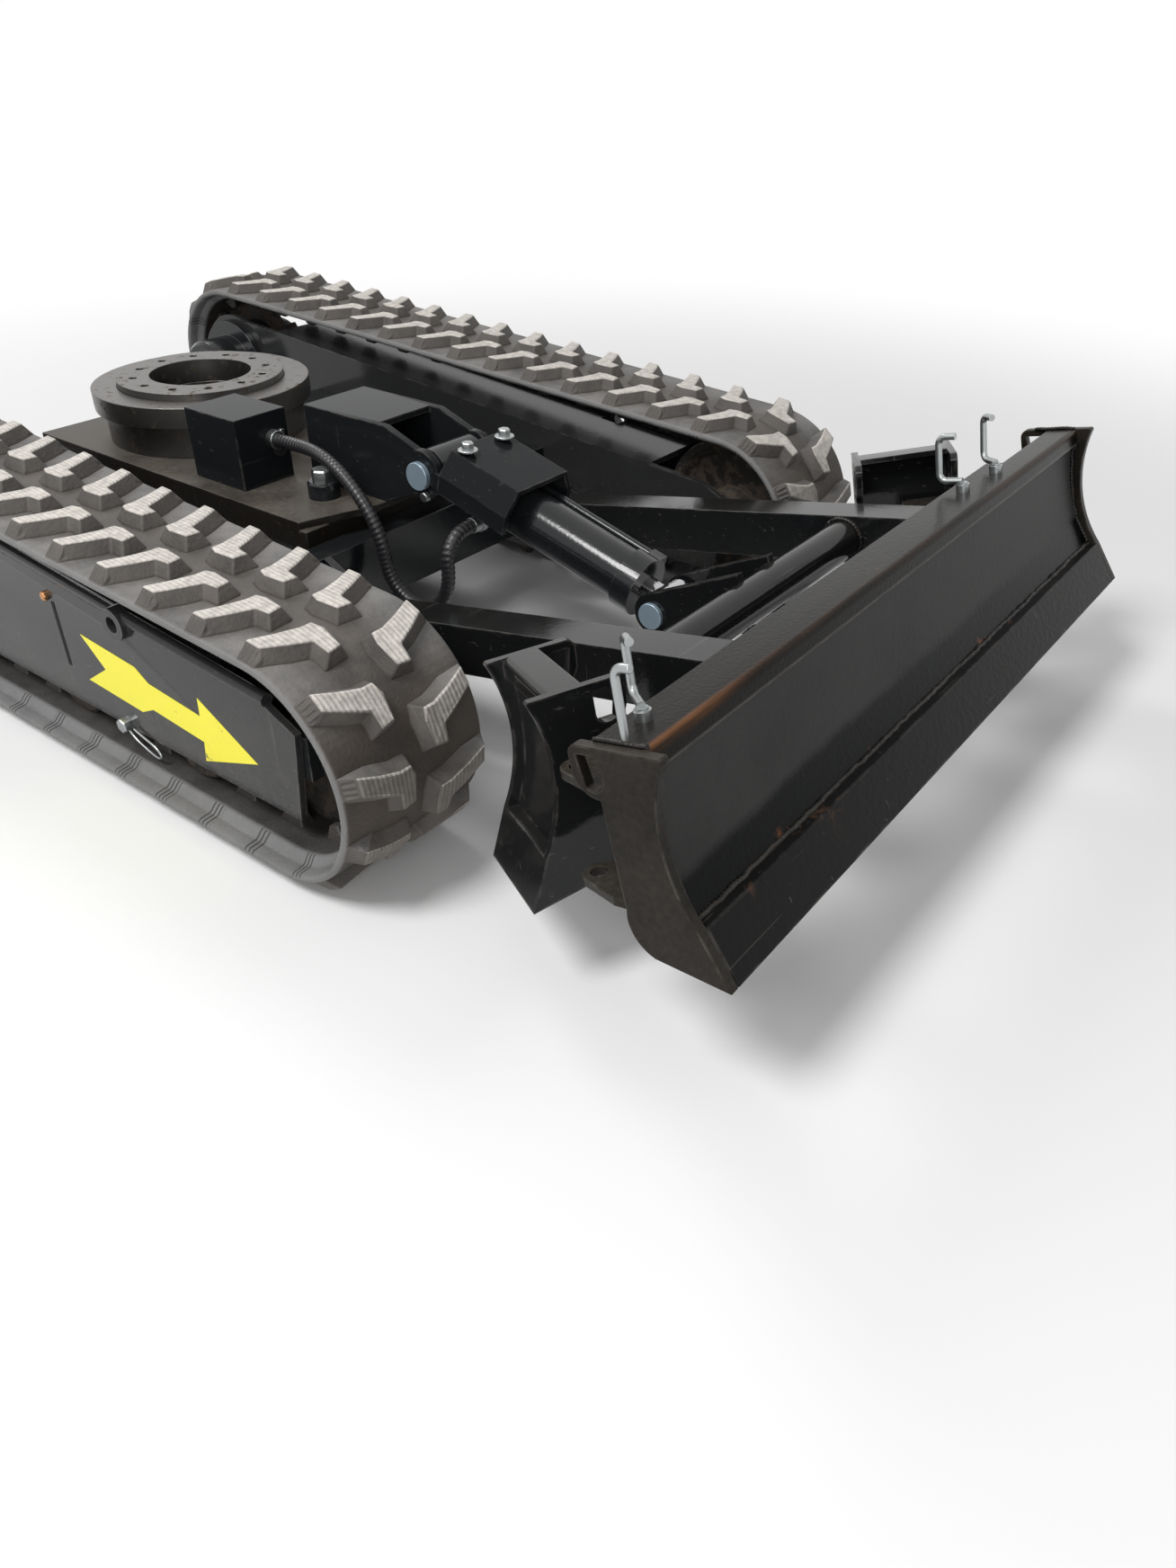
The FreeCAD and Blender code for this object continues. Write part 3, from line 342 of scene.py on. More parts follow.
# 1 between low and high.
def band(tree, value, low, high, soft):
    rise = ramp(tree, value, low - soft, low + soft)
    fall = ramp(tree, value, high - soft, high + soft)
    return math2(tree, "SUBTRACT", rise, fall, True)


# The blade's front sheet: painted sheen, light grey in cloudy patches on its upper plate where it faces forward,
# and painted shade, dark along its lower bend.
def makeSheet():
    material, tree, shader = startMaterial("blade_sheet")
    z = bladePlace(tree)["Z"]
    wander = times(tree, math2(tree, "SUBTRACT", noiseValue(tree, 12, 6), 0.5), 14.0)
    height = math2(tree, "ADD", z, wander)
    normal = addNode(tree, "ShaderNodeSeparateXYZ",
                     i0=addNode(tree, "ShaderNodeNewGeometry").outputs["Normal"]).outputs["Y"]
    front = ramp(tree, times(tree, normal, -1.0), 0.3, 0.7)
    cloud = ramp(tree, noiseValue(tree, 7, 7, roughness=0.65), 0.2, 0.62)
    # Painted sheen above the bend, on forward faces only. Below it, the dark colour is painted shade.
    pale = times(tree, ramp(tree, height, blade["bend"] - 7, blade["bend"] + 4),
                 plusShare(tree, 0.62, cloud, 0.38))
    pale = times(tree, pale, front)
    color = mixColor(tree, pale, blade["band"], blade["sheet"])
    scratches = effect(tree, "scratches", Amount=0.5)
    color = mixColor(tree, times(tree, scratches, 0.15), color, blade["scratch"])
    stripe = band(tree, height, 10, 54, 6)
    color = mixColor(tree, times(tree, stripe, effect(tree, "rust", Scale=26.0, Amount=0.3)), color,
                     shared["rust"])
    feed(tree, shader, color=color, specular=blade["specular"],
         roughness=plusShare(tree, 0.22, pale, 0.2))
    bump(tree, shader, effect(tree, "grain", Scale=210.0), 0.0003)
    return material


# Dark blade paint. grime is its dry brown film. The last switch adds the bared line along the top's front and a
# painted highlight along the lower edge of the top's lip.
def makeBladePaint(name, grime, film, rust, primerLineAndHighlight=False):
    material, tree, shader = startMaterial(name)
    dust = effect(tree, "dust", Amount=grime, Everywhere=film)
    wear = effect(tree, "edgeWear", Amount=0.5, Width=0.003)
    patches = effect(tree, "rust", Scale=34.0, Amount=rust)
    color = mixColor(tree, dust, blade["dark"], shared["dust"])
    color = mixColor(tree, patches, color, shared["rust"])
    if primerLineAndHighlight:
        x, y, z = bladePlace(tree)
        line = times(tree, ramp(tree, z, 176, 181), band(tree, y, 48, 54, 3))
        strength = math2(tree, "ADD", 0.12, times(tree, band(tree, x, -460, -340, 50), 0.42))
        broken = ramp(tree, noiseValue(tree, 30, 6, (0.16, 4.0, 1.0)), 0.4, 0.62)
        line = times(tree, line, times(tree, strength, broken))
        color = mixColor(tree, line, color, blade["primer"])
        # Painted highlight: a pale line along the lower edge of the top's lip.
        paintedHighlight = band(tree, z, 166, 169.5, 0.8)
        color = mixColor(tree, times(tree, paintedHighlight, 0.12), color, blade["lipHighlight"])
    color = mixColor(tree, wear, color, shared["bare"])
    feed(tree, shader, color=color, specular=blade["specular"],
         roughness=plusShare(tree, 0.18, dust, 0.6, True))
    bump(tree, shader, effect(tree, "grain", Scale=260.0), 0.0003)
    return material


# The cutting edge: scraped steel, rusty beside its weld.
edgeSteel = {"color": (0.0085, 0.0082, 0.008, 1), "rust": (0.08, 0.045, 0.028, 1), "bare": (0.16, 0.15, 0.14, 1)}


def makeEdgeSteel():
    material, tree, shader = startMaterial("edge_steel")
    beside = band(tree, bladePlace(tree)["Z"], 40, 52, 4)
    patches = times(tree, effect(tree, "rust", Scale=22.0, Amount=0.42),
                    plusShare(tree, 0.08, beside, 0.8))
    scratches = effect(tree, "scratches", Amount=0.25)
    wear = effect(tree, "edgeWear", Amount=0.7, Width=0.004)
    color = mixColor(tree, patches, edgeSteel["color"], edgeSteel["rust"])
    color = mixColor(tree, math2(tree, "MAXIMUM", scratches, wear), color, edgeSteel["bare"])
    feed(tree, shader, color=color, specular=blade["specular"],
         roughness=plusShare(tree, 0.3, patches, 0.4))
    bump(tree, shader, effect(tree, "grain", Scale=140.0), 0.0004)
    return material


# Bare and plated metals
metals = {
    "zinc": {"color": (0.38, 0.40, 0.40, 1), "stain": (0.16, 0.12, 0.07, 1),
             "rough": 0.3, "metal": 1.0, "amount": 0.3},
    "pin_steel": {"color": (0.34, 0.44, 0.52, 1), "stain": (0.12, 0.09, 0.07, 1),
                  "rough": 0.32, "metal": 0.55, "amount": 0.2},
    "chrome_rod": {"color": (0.5, 0.5, 0.51, 1), "stain": (0.3, 0.27, 0.22, 1),
                   "rough": 0.08, "metal": 1.0, "amount": 0.1},
    "slew_steel": {"color": (0.13, 0.125, 0.12, 1), "stain": (0.07, 0.05, 0.03, 1),
                   "rough": 0.35, "metal": 1.0, "amount": 0.5},
    "cast_steel": {"color": (0.02, 0.019, 0.018, 1), "stain": (0.06, 0.045, 0.035, 1),
                   "rough": 0.45, "metal": 0.0, "amount": 0.8},
    "copper": {"color": (0.55, 0.27, 0.12, 1), "stain": (0.12, 0.08, 0.05, 1),
               "rough": 0.35, "metal": 1.0, "amount": 0.5},
    "weld": {"color": (0.003, 0.003, 0.003, 1), "stain": (0.02, 0.014, 0.01, 1),
             "rough": 0.22, "metal": 0.0, "amount": 0.5},
}
metalFinish = {"stainScale": 70.0, "dust": 0.45, "film": 0.1, "dulling": 0.35, "specular": 0.2,
               "grainScale": 400.0, "grainHeight": 0.00012}


def makeMetal(name):
    look = metals[name]
    material, tree, shader = startMaterial(name)
    stain = effect(tree, "rust", Scale=metalFinish["stainScale"], Amount=look["amount"])
    dust = effect(tree, "dust", Amount=metalFinish["dust"] * look["amount"], Everywhere=metalFinish["film"])
    color = mixColor(tree, stain, look["color"], look["stain"])
    color = mixColor(tree, dust, color, shared["dust"])
    feed(tree, shader, color=color, specular=metalFinish["specular"],
         metallic=math2(tree, "SUBTRACT", look["metal"], dust, True),
         roughness=math2(tree, "ADD", look["rough"], times(tree, stain, metalFinish["dulling"])))
    bump(tree, shader, effect(tree, "grain", Scale=metalFinish["grainScale"]), metalFinish["grainHeight"])
    return material


# Plain dull black: the hose's cover, and the seams
plains = {"hose": {"color": (0.012, 0.012, 0.014, 1), "rough": 0.34},
          "dark": {"color": (0.008, 0.008, 0.009, 1), "rough": 0.6}}
plainFinish = {"dust": 0.16, "film": 0.1, "grainScale": 500.0, "grainHeight": 0.0001}


def makePlain(name):
    look = plains[name]
    material, tree, shader = startMaterial(name)
    dust = effect(tree, "dust", Amount=plainFinish["dust"], Everywhere=plainFinish["film"])
    feed(tree, shader, color=mixColor(tree, dust, look["color"], shared["dust"]), roughness=look["rough"])
    bump(tree, shader, effect(tree, "grain", Scale=plainFinish["grainScale"]), plainFinish["grainHeight"])
    return material


# Rubber of the tracks. Brown dust lies between the shoes, and their tops are worn pale. Faces that look up take
# painted sheen, and the worn tops are painted paler where they face up.
rubber = {"black": (0.012, 0.011, 0.010, 1), "dust": (0.075, 0.060, 0.048, 1),
          "dustAndSheen": (0.23, 0.22, 0.21, 1), "top": (0.66, 0.62, 0.57, 1), "wall": (0.21, 0.21, 0.21, 1),
          "ribs": 0.0052, "fan": 0.0058, "combEvery": 0.0745}

# Where they begin and end: metres from the belt's middle, and heights as shares of a shoe's height
zones = {"outward": (0.015, 0.075), "inside": (0.060, 0.064), "edge": (0.0862, 0.0885), "flank": (0.078, 0.087),
         "comb": (0.064, 0.092), "top": (0.86, 0.98), "face": (-0.4, -0.05), "underside": (-0.3, -0.5)}


def makeRubber():
    material, tree, shader = startMaterial("track_rubber")
    proud = addNode(tree, "ShaderNodeAttribute", {"attribute_name": "proud"}).outputs["Fac"]
    mapped = addNode(tree, "ShaderNodeTexCoord").outputs["UV"]
    along = addNode(tree, "ShaderNodeSeparateXYZ", i0=mapped).outputs
    out = math2(tree, "ABSOLUTE", along[1], 0.0)
    cloud = ramp(tree, noiseValue(tree, 16, 8, roughness=0.65), 0.25, 0.7)
    fine = ramp(tree, noiseValue(tree, 130, 5), 0.3, 0.7)
    top = ramp(tree, proud, *zones["top"])
    face = ramp(tree, proud, *zones["face"])
    film = times(tree, plusShare(tree, 0.3, cloud, 0.7),
                 plusShare(tree, 0.3, face, 0.6))
    level = addNode(tree, "ShaderNodeSeparateXYZ",
                    i0=addNode(tree, "ShaderNodeNewGeometry").outputs["True Normal"]).outputs["Z"]
    outward = math2(tree, "ADD", 0.3, times(tree, ramp(tree, out, *zones["outward"]), 0.7))
    # Faces that look up are painted light grey, the flat top run most: painted sheen over their dust.
    dustAndSheen = math2(tree, "MAXIMUM", times(tree, ramp(tree, level, 0.45, 0.95), outward),
                    times(tree, band(tree, proud, 0.1, 0.9, 0.1), 0.35))
    dustAndSheen = mixColor(tree, dustAndSheen, rubber["dust"], rubber["dustAndSheen"])
    color = mixColor(tree, film, rubber["black"], dustAndSheen)
    worn = times(tree, top, plusShare(tree, 0.6, fine, 0.4))
    # Painted light: the worn tops are paler where they face up and darker where they turn round the arcs.
    paintedLitShare = math2(tree, "ADD", 0.2, times(tree, ramp(tree, level, 0.1, 0.85), 0.8))
    color = mixColor(tree, times(tree, worn, paintedLitShare), color, rubber["top"])
    # Painted light: the lower run's inner face is painted light grey along its outer margin, where light falls
    # from above. The belt's side edges take the same grey.
    inner = times(tree, ramp(tree, out, *zones["inside"]), ramp(tree, proud, *zones["underside"]))
    wall = times(tree, math2(tree, "MAXIMUM", inner, ramp(tree, out, *zones["edge"])),
                 plusShare(tree, 0.55, cloud, 0.2))
    color = mixColor(tree, wall, color, rubber["wall"])
    wave = math2(tree, "SINE", times(tree, along[1], 2 * math.pi / rubber["ribs"]), 0.0)
    ribs = times(tree, times(tree, wave, top), 0.3)
    fan = math2(tree, "SINE", times(tree, along[0], 2 * math.pi / rubber["fan"]), 0.0)
    flank = times(tree, band(tree, out, *zones["flank"], 0.002), band(tree, proud, 0.15, 0.8, 0.1))
    share = math2(tree, "FRACT", math2(tree, "DIVIDE", along[0], rubber["combEvery"]), 0.0)
    comb = times(tree, band(tree, share, 0.1, 0.36, 0.01), band(tree, out, *zones["comb"], 0.002))
    comb = times(tree, comb, ramp(tree, proud, *zones["underside"]))
    lines = times(tree, comb, ramp(tree, fan, 0.3, 0.6))
    # Painted shade: the comb grooves are painted near black.
    color = mixColor(tree, times(tree, lines, 0.8), color, rubber["black"])
    feed(tree, shader, color=color, roughness=plusShare(tree, 0.5, film, 0.3))
    grooves = math2(tree, "SUBTRACT", times(tree, fan, flank), lines)
    height = math2(tree, "ADD", math2(tree, "ADD", ribs, grooves), effect(tree, "grain", Scale=260.0))
    bump(tree, shader, height, 0.0008)
    return material


arrowPaint = {"yellow": (0.86, 0.78, 0.03, 1), "chipped": (0.03, 0.03, 0.03, 1), "rough": 0.35}


def makeArrowPaint():
    material, tree, shader = startMaterial("arrow_yellow")
    chips = effect(tree, "rust", Scale=60.0, Amount=0.25)
    splash = effect(tree, "splash", Amount=0.1)
    color = mixColor(tree, splash, arrowPaint["yellow"], shared["dust"])
    color = mixColor(tree, chips, color, arrowPaint["chipped"])
    feed(tree, shader, color=color, roughness=arrowPaint["rough"])
    return material


materials = {name: makePaint(name) for name in paints}
materials.update({name: makeMetal(name) for name in metals})
materials["blade_sheet"] = makeSheet()
materials["blade_top"] = makeBladePaint("blade_top", 0.05, 0.025, 0.1, primerLineAndHighlight=True)
materials["blade_paint"] = makeBladePaint("blade_paint", 0.3, 0.5, 0.12)
materials["edge_steel"] = makeEdgeSteel()
materials["track_rubber"] = makeRubber()
materials["arrow_yellow"] = makeArrowPaint()
materials.update({name: makePlain(name) for name in plains})
print("materials made")

# CAD pieces: each is shown by a copy of its own mesh with eased edges
bodyOf = {node: body for body, nodes in record["behaviour"]["bodies"].items() for node in nodes}
slotOf = {part["node"]: part["material_slot"] for part in record["subparts"]}
easing = {"width": 0.0011, "angle": 32, "seams": 28, "merge": 0.00002, "flat": 0.5, "segments": 2}
finishes = {"centre_frame": "deck_paint", "hose_box": "box_paint", "cylinder_cover": "box_paint",
            "cylinder_bracket": "box_paint",
            "blade_arm_left": "arm_paint", "blade_arm_right": "arm_paint", "blade_cross_tubes": "arm_paint",
            "rod_clevis": "arm_paint", "blade_moldboard": "blade_sheet", "blade_top_beam": "blade_top",
            "blade_cutting_edge": "edge_steel", "wing_blade_left": "arm_paint", "wing_blade_right": "arm_paint"}
drawnHere = {"track_belt_left", "track_belt_right", "blade_hose"}


def finishMesh(mesh, angle):
    for face in mesh.polygons:
        face.use_smooth = True
    mesh.set_sharp_from_angle(angle=math.radians(angle))


def showPiece(thing, body, material):
    bpy.context.scene.collection.objects.link(thing)
    thing.data.materials.clear()
    thing.data.materials.append(materials[material])
    if body:
        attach(thing, body)
    return thing


def ease(thing, width, angle, harden=False):
    bevel = thing.modifiers.new("ease", "BEVEL")
    bevel.width = width
    bevel.segments = easing["segments"]
    bevel.limit_method = "ANGLE"
    bevel.angle_limit = math.radians(angle)
    bevel.harden_normals = harden


def easedCopy(node):
    source = frame["nodes"][node]
    form = bmesh.new()
    form.from_mesh(source.data)
    bmesh.ops.remove_doubles(form, verts=form.verts, dist=easing["merge"])
    flat = math.radians(easing["flat"])
    bmesh.ops.dissolve_limit(form, angle_limit=flat, verts=form.verts, edges=form.edges)
    mesh = bpy.data.meshes.new(node + "_eased")
    form.to_mesh(mesh)
    form.free()
    finishMesh(mesh, easing["seams"])
    thing = bpy.data.objects.new(node + "_eased", mesh)
    showPiece(thing, bodyOf[node], finishes.get(node, slotOf[node]))
    ease(thing, easing["width"], easing["angle"], harden=True)
    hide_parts(node)
    return thing


eased = {node: easedCopy(node) for node in frame["nodes"] if node not in drawnHere}
print("cad pieces eased", len(eased))

# Swept and turned shapes


# Faces between two rings of vertices, right round
def bridge(form, first, second):
    span = len(first)
    for k in range(span):
        form.faces.new((first[k], first[(k + 1) % span], second[(k + 1) % span], second[k]))


# A tube along a path, with this outline round it. swell(t) scales the outline along the way.
def sweep(form, path, outline, swell=None):
    rings, side, last = [], None, len(path) - 1
    for index, point in enumerate(path):
        heading = (path[min(index + 1, last)] - path[max(index - 1, 0)]).normalized()
        if side is None:
            side = heading.orthogonal()
        side = (side - heading * side.dot(heading)).normalized()
        up = heading.cross(side)
        scale = swell(index / last) if swell else 1.0
        rings.append([form.verts.new(point + (side * u + up * v) * scale) for u, v in outline])
    for first, second in zip(rings, rings[1:]):
        bridge(form, first, second)
    form.faces.new(list(reversed(rings[0])))
    form.faces.new(rings[-1])


def circleOutline(radius, sides=12):
    return [(radius * math.cos(2 * math.pi * k / sides), radius * math.sin(2 * math.pi * k / sides))
            for k in range(sides)]


# A turned shape: (radius, distance) pairs spun round an axis, closed at both ends.
def spin(form, place, axis, profile, sides=32, turn=0.0):
    axis = axis.normalized()
    side = axis.orthogonal().normalized()
    other = axis.cross(side)
    rings = []
    for radius, distance in profile:
        angles = [turn + 2 * math.pi * k / sides for k in range(sides)]
        rings.append([form.verts.new(place + axis * distance + (side * math.cos(a) + other * math.sin(a)) * radius)
                      for a in angles])
    for first, second in zip(rings, rings[1:]):
        bridge(form, first, second)
    form.faces.new(list(reversed(rings[0])))
    form.faces.new(rings[-1])


# A hexagon head, flats wide across its flats, with or without a washer under it
def hexBolt(form, place, axis, flats, washer=True, turn=0.0):
    corner = flats / 2 / math.cos(math.pi / 6)
    base = 0.0
    if washer:
        rim = flats * 0.92
        spin(form, place, axis, [(rim, -0.001), (rim, flats * 0.09), (flats * 0.86, flats * 0.13)])
        base = flats * 0.13
    head = flats * 0.62
    spin(form, place, axis, [(corner, base - 0.0005), (corner, base + head * 0.86), (corner * 0.86, base + head)],
         6, turn)


def addPiece(name, form, body, material, easeWidth=0.0, angle=35):
    bmesh.ops.recalc_face_normals(form, faces=form.faces)
    mesh = bpy.data.meshes.new(name)
    form.to_mesh(mesh)
    form.free()
    finishMesh(mesh, angle)
    thing = showPiece(bpy.data.objects.new(name, mesh), body, material)
    if easeWidth:
        ease(thing, easeWidth, 30)
    return thing


# Tracks. Each belt is a band round the idler, the last roller and the sprocket, with two rows of hooked shoes.
belt = {"links": 38, "thickness": 0.018, "lip": 0.009, "shoeHeight": 0.0155, "shoeAt": -399, "rowShift": 0.5,
        "arcStep": 4.0, "lineStep": 0.02, "hornHeight": 0.016, "hornPlace": 0.031, "shoeReach": 0.016}

# A shoe's top, seen from above: millimetres outward from the belt's middle, and forward along its run
shoeTop = [(76, -18), (76, -1), (54, 9), (34, 17), (32, 33), (17, 31), (14, 8), (18, -3), (30, -3), (53, -9)]
shoeFoot = [(88, -21), (88, 3), (58, 17), (41, 22), (40, 41), (9, 38), (6, 6), (11, -11), (32, -12), (55, -19)]


# A square's corners, in order
corners = ((-1, -1), (1, -1), (1, 1), (-1, 1))


# The normal of the straight run that touches two circles, each given as its middle's y and z and its radius
def tangentNormal(first, second):
    (y1, z1, r1), (y2, z2, r2) = first, second
    gap = Vector((y2 - y1, z2 - z1))
    lean = (r1 - r2) / gap.length
    gap.normalize()
    return gap * lean + Vector((gap.y, -gap.x)) * math.sqrt(1 - lean * lean)


# The band's outer face as (y, z, normal angle, distance), right round, beginning at the sprocket's arc
def beltStations(side):
    idler, sprocket = middleOf("idler_" + side), middleOf("travel_motor_" + side)
    idlerLow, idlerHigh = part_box("idler_" + side)
    rollerLow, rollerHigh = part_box("bottom_rollers_" + side)
    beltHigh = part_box("track_belt_" + side)[1]
    roller = (rollerHigh.z - rollerLow.z) / 2
    circles = [(sprocket.y, sprocket.z, beltHigh.y - sprocket.y - belt["shoeReach"]),
               (idler.y, idler.z, (idlerHigh.z - idlerLow.z) / 2 + belt["thickness"]),
               (rollerHigh.y - roller, rollerLow.z + roller, roller + belt["thickness"])]
    normals = [tangentNormal(circles[k], circles[(k + 1) % 3]) for k in range(3)]
    stations, distance, last = [], 0.0, None
    for k in range(3):
        y, z, radius = circles[k]
        startAngle = math.atan2(normals[k - 1].y, normals[k - 1].x)
        turn = (math.atan2(normals[k].y, normals[k].x) - startAngle) % (2 * math.pi)
        steps = max(1, round(math.degrees(turn) / belt["arcStep"]))
        for step in range(steps + 1):
            angle = startAngle + turn * step / steps
            point = Vector((y + radius * math.cos(angle), z + radius * math.sin(angle)))
            if last is not None:
                run = point - last[0]
                pieces = max(1, round(run.length / belt["lineStep"])) if step == 0 else 1
                for piece in range(1, pieces):
                    middle = last[0] + run * piece / pieces
                    stations.append((middle.x, middle.y, last[1], distance + run.length * piece / pieces))
                distance += run.length if step == 0 else radius * turn / steps
            stations.append((point.x, point.y, angle, distance))
            last = (point, angle)
    run = Vector(stations[0][:2]) - last[0]
    pieces = max(1, round(run.length / belt["lineStep"]))
    for piece in range(1, pieces):
        middle = last[0] + run * piece / pieces
        stations.append((middle.x, middle.y, last[1], distance + run.length * piece / pieces))
    return stations, distance + run.length


# The point and the normal angle at a distance along the band
def stationAt(stations, total, distance):
    distance %= total
    low, high = 0, len(stations) - 1
    while high - low > 1:
        middle = (low + high) // 2
        low, high = (middle, high) if stations[middle][3] <= distance else (low, middle)
    a, b = stations[low], stations[high]
    if distance > b[3]:
        a, b = b, stations[0][:3] + (total,)
    share = (distance - a[3]) / max(b[3] - a[3], 1e-9)
    turn = (b[2] - a[2] + math.pi) % (2 * math.pi) - math.pi
    return Vector(a[:2]).lerp(Vector(b[:2]), share), a[2] + turn * share


def makeBelt(side, sign):
    stations, total = beltStations(side)
    pitch = total / belt["links"]
    low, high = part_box("track_belt_" + side)
    middle, half = (low.x + high.x) / 2, (high.x - low.x) / 2
    topRun = [s for s in stations if abs(s[2] - math.pi / 2) < 0.2]
    shoeY = at(0, belt["shoeAt"], 0).y
    nearest = min(topRun, key=lambda s: abs(s[0] - shoeY))
    start = nearest[3] + nearest[0] - shoeY
    form = bmesh.new()
    proudLayer = form.verts.layers.float.new("proud")
    mapLayer = form.loops.layers.uv.new("UVMap")
    placeOf = {}

    def put(distance, across, proud):
        point, angle = stationAt(stations, total, distance)
        normal = Vector((math.cos(angle), math.sin(angle)))
        point = point + normal * proud
        vert = form.verts.new((middle + sign * across, point.x, point.y))
        vert[proudLayer] = proud / belt["shoeHeight"]
        placeOf[vert] = (distance, across)
        return vert

    deep, lip = -belt["thickness"], -belt["lip"]
    section = [(-half + 0.003, 0), (-half, -0.003), (-half, lip + 0.002), (-half + 0.003, lip),
               (-half + 0.016, lip - 0.001), (-half + 0.024, deep)]
    section += [(-across, proud) for across, proud in reversed(section)]
    rings = [[put(station[3], across, proud) for across, proud in section] for station in stations]
    for first, second in zip(rings, rings[1:] + rings[:1]):
        bridge(form, first, second)
    for link in range(belt["links"]):
        for row, shift in ((1, 0.0), (-1, belt["rowShift"])):
            origin = start + (link + shift) * pitch

            def outline(points, proud):
                return [put(origin + along * millimetre, row * across * millimetre, proud)
                        for across, along in points]

            foot = outline(shoeFoot, -0.001)
            top = outline(shoeTop, belt["shoeHeight"])
            bridge(form, foot, top)
            form.faces.new(top)
        for across in (-belt["hornPlace"], belt["hornPlace"]):
            hornAt = (link + 0.25) * pitch
            hornFoot = [put(hornAt + a * 0.017, across + b * 0.009, deep + 0.001) for a, b in corners]
            hornTop = [put(hornAt + a * 0.009, across + b * 0.005, deep - belt["hornHeight"]) for a, b in corners]
            bridge(form, hornFoot, hornTop)
            form.faces.new(hornTop)
    for face in form.faces:
        for loop in face.loops:
            loop[mapLayer].uv = placeOf[loop.vert]
    thing = addPiece("tread_" + side, form, "undercarriage", "track_rubber", 0.0018, 40)
    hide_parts("track_belt_" + side)
    return total


beltLength = [makeBelt(side, sign) for side, sign in sides]
print("belts made", round(beltLength[0], 4))

# Hose: its route's points, in the machine's millimetres, from the box on the deck to the cylinder's port
hose = {"diameter": 0.017, "ridge": 0.0011, "ridgePitch": 0.0062, "corners": 14, "ringsAPitch": 4,
        "route": [(-84, -42, 267), (-84, -74, 267), (-90, -112, 271), (-96, -152, 266), (-101, -190, 249),
                  (-102, -220, 220), (-101, -236, 184), (-100, -239, 149), (-98, -252, 126), (-96, -274, 113),
                  (-94, -300, 113), (-93, -322, 126), (-92, -334, 148), (-91, -336, 169), (-90.8, -335.5, 187.6),
                  (-81.5, -335.2, 203.6), (-65.5, -335.1, 212.9), (-47, -335.1, 212.9)]}


# Points along one smooth curve that follows these
def splinePoints(points, detail=14):
    curve = bpy.data.curves.new("route", "CURVE")
    curve.dimensions = "3D"
    line = curve.splines.new("NURBS")
    line.points.add(len(points) - 1)
    for point, place in zip(line.points, points):
        point.co = (*place, 1)
    line.order_u = 3
    line.use_endpoint_u = True
    curve.resolution_u = detail
    thing = bpy.data.objects.new("route", curve)
    mesh = bpy.data.meshes.new_from_object(thing)
    followed = [vert.co.copy() for vert in mesh.vertices]
    bpy.data.objects.remove(thing)
    return followed


# The hose's wound cover: a tube with a ridge that winds round it
def makeHose():
    path = splinePoints([at(*place) for place in hose["route"]])
    length = sum((b - a).length for a, b in zip(path, path[1:]))
    corners, rings = hose["corners"], hose["ringsAPitch"]
    steps = round(length / hose["ridgePitch"] * rings)
    evenly, travelled, index = [path[0]], 0.0, 0
    for step in range(1, steps):
        target = length * step / steps
        while travelled + (path[index + 1] - path[index]).length < target:
            travelled += (path[index + 1] - path[index]).length
            index += 1
        run = path[index + 1] - path[index]
        evenly.append(path[index] + run * (target - travelled) / run.length)
    evenly.append(path[-1])
    form = bmesh.new()
    sweep(form, evenly, circleOutline(hose["diameter"] / 2 - hose["ridge"], corners))
    for number, vert in enumerate(form.verts):
        ring, corner = divmod(number, corners)
        phase = ring / rings - corner / corners
        out = (vert.co - evenly[ring]).normalized()
        vert.co += out * hose["ridge"] * (0.5 - 0.5 * math.cos(2 * math.pi * phase)) ** 0.5
    thing = addPiece("hose_wrap", form, None, "hose", 0.0, 60)
    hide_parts("blade_hose")
    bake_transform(thing)
    return length


print("hose made", round(makeHose(), 4))

# Weld beads, in the blade's millimetres. A bead is a row of overlapping ripples.
weld = {"ripple": 0.0045, "swell": 0.16, "wander": 0.0012, "armSeat": (0, 70, 124), "armPivot": (0, -270, 130),
        "tubeBack": 155, "tubeRadius": 0.0235, "endPlate": 439}


def bead(form, points, radius, seed=0.0):
    path = []
    for a, b in zip(points, points[1:]):
        steps = max(2, round((b - a).length / (weld["ripple"] / 3)))
        path += [a.lerp(b, k / steps) for k in range(steps)]
    path.append(points[-1])
    wandering = [point + Vector([noise.noise(point * 90 + Vector((seed, k * 7, 0))) * weld["wander"]
                                 for k in range(3)]) for point in path]

    def swell(share):
        phase = share * len(path) / 3
        return 1 + weld["swell"] * (math.cos(2 * math.pi * phase) + noise.noise(Vector((phase * 0.3, seed, 0))))

    sweep(form, wandering, circleOutline(radius, 8), swell)


def ringPoints(centre, axis, radius, steps=28):
    side = axis.orthogonal().normalized()
    other = axis.cross(side)
    return [centre + (side * math.cos(a) + other * math.sin(a)) * radius
            for a in (math.radians(360.0 * k / steps) for k in range(steps + 1))]


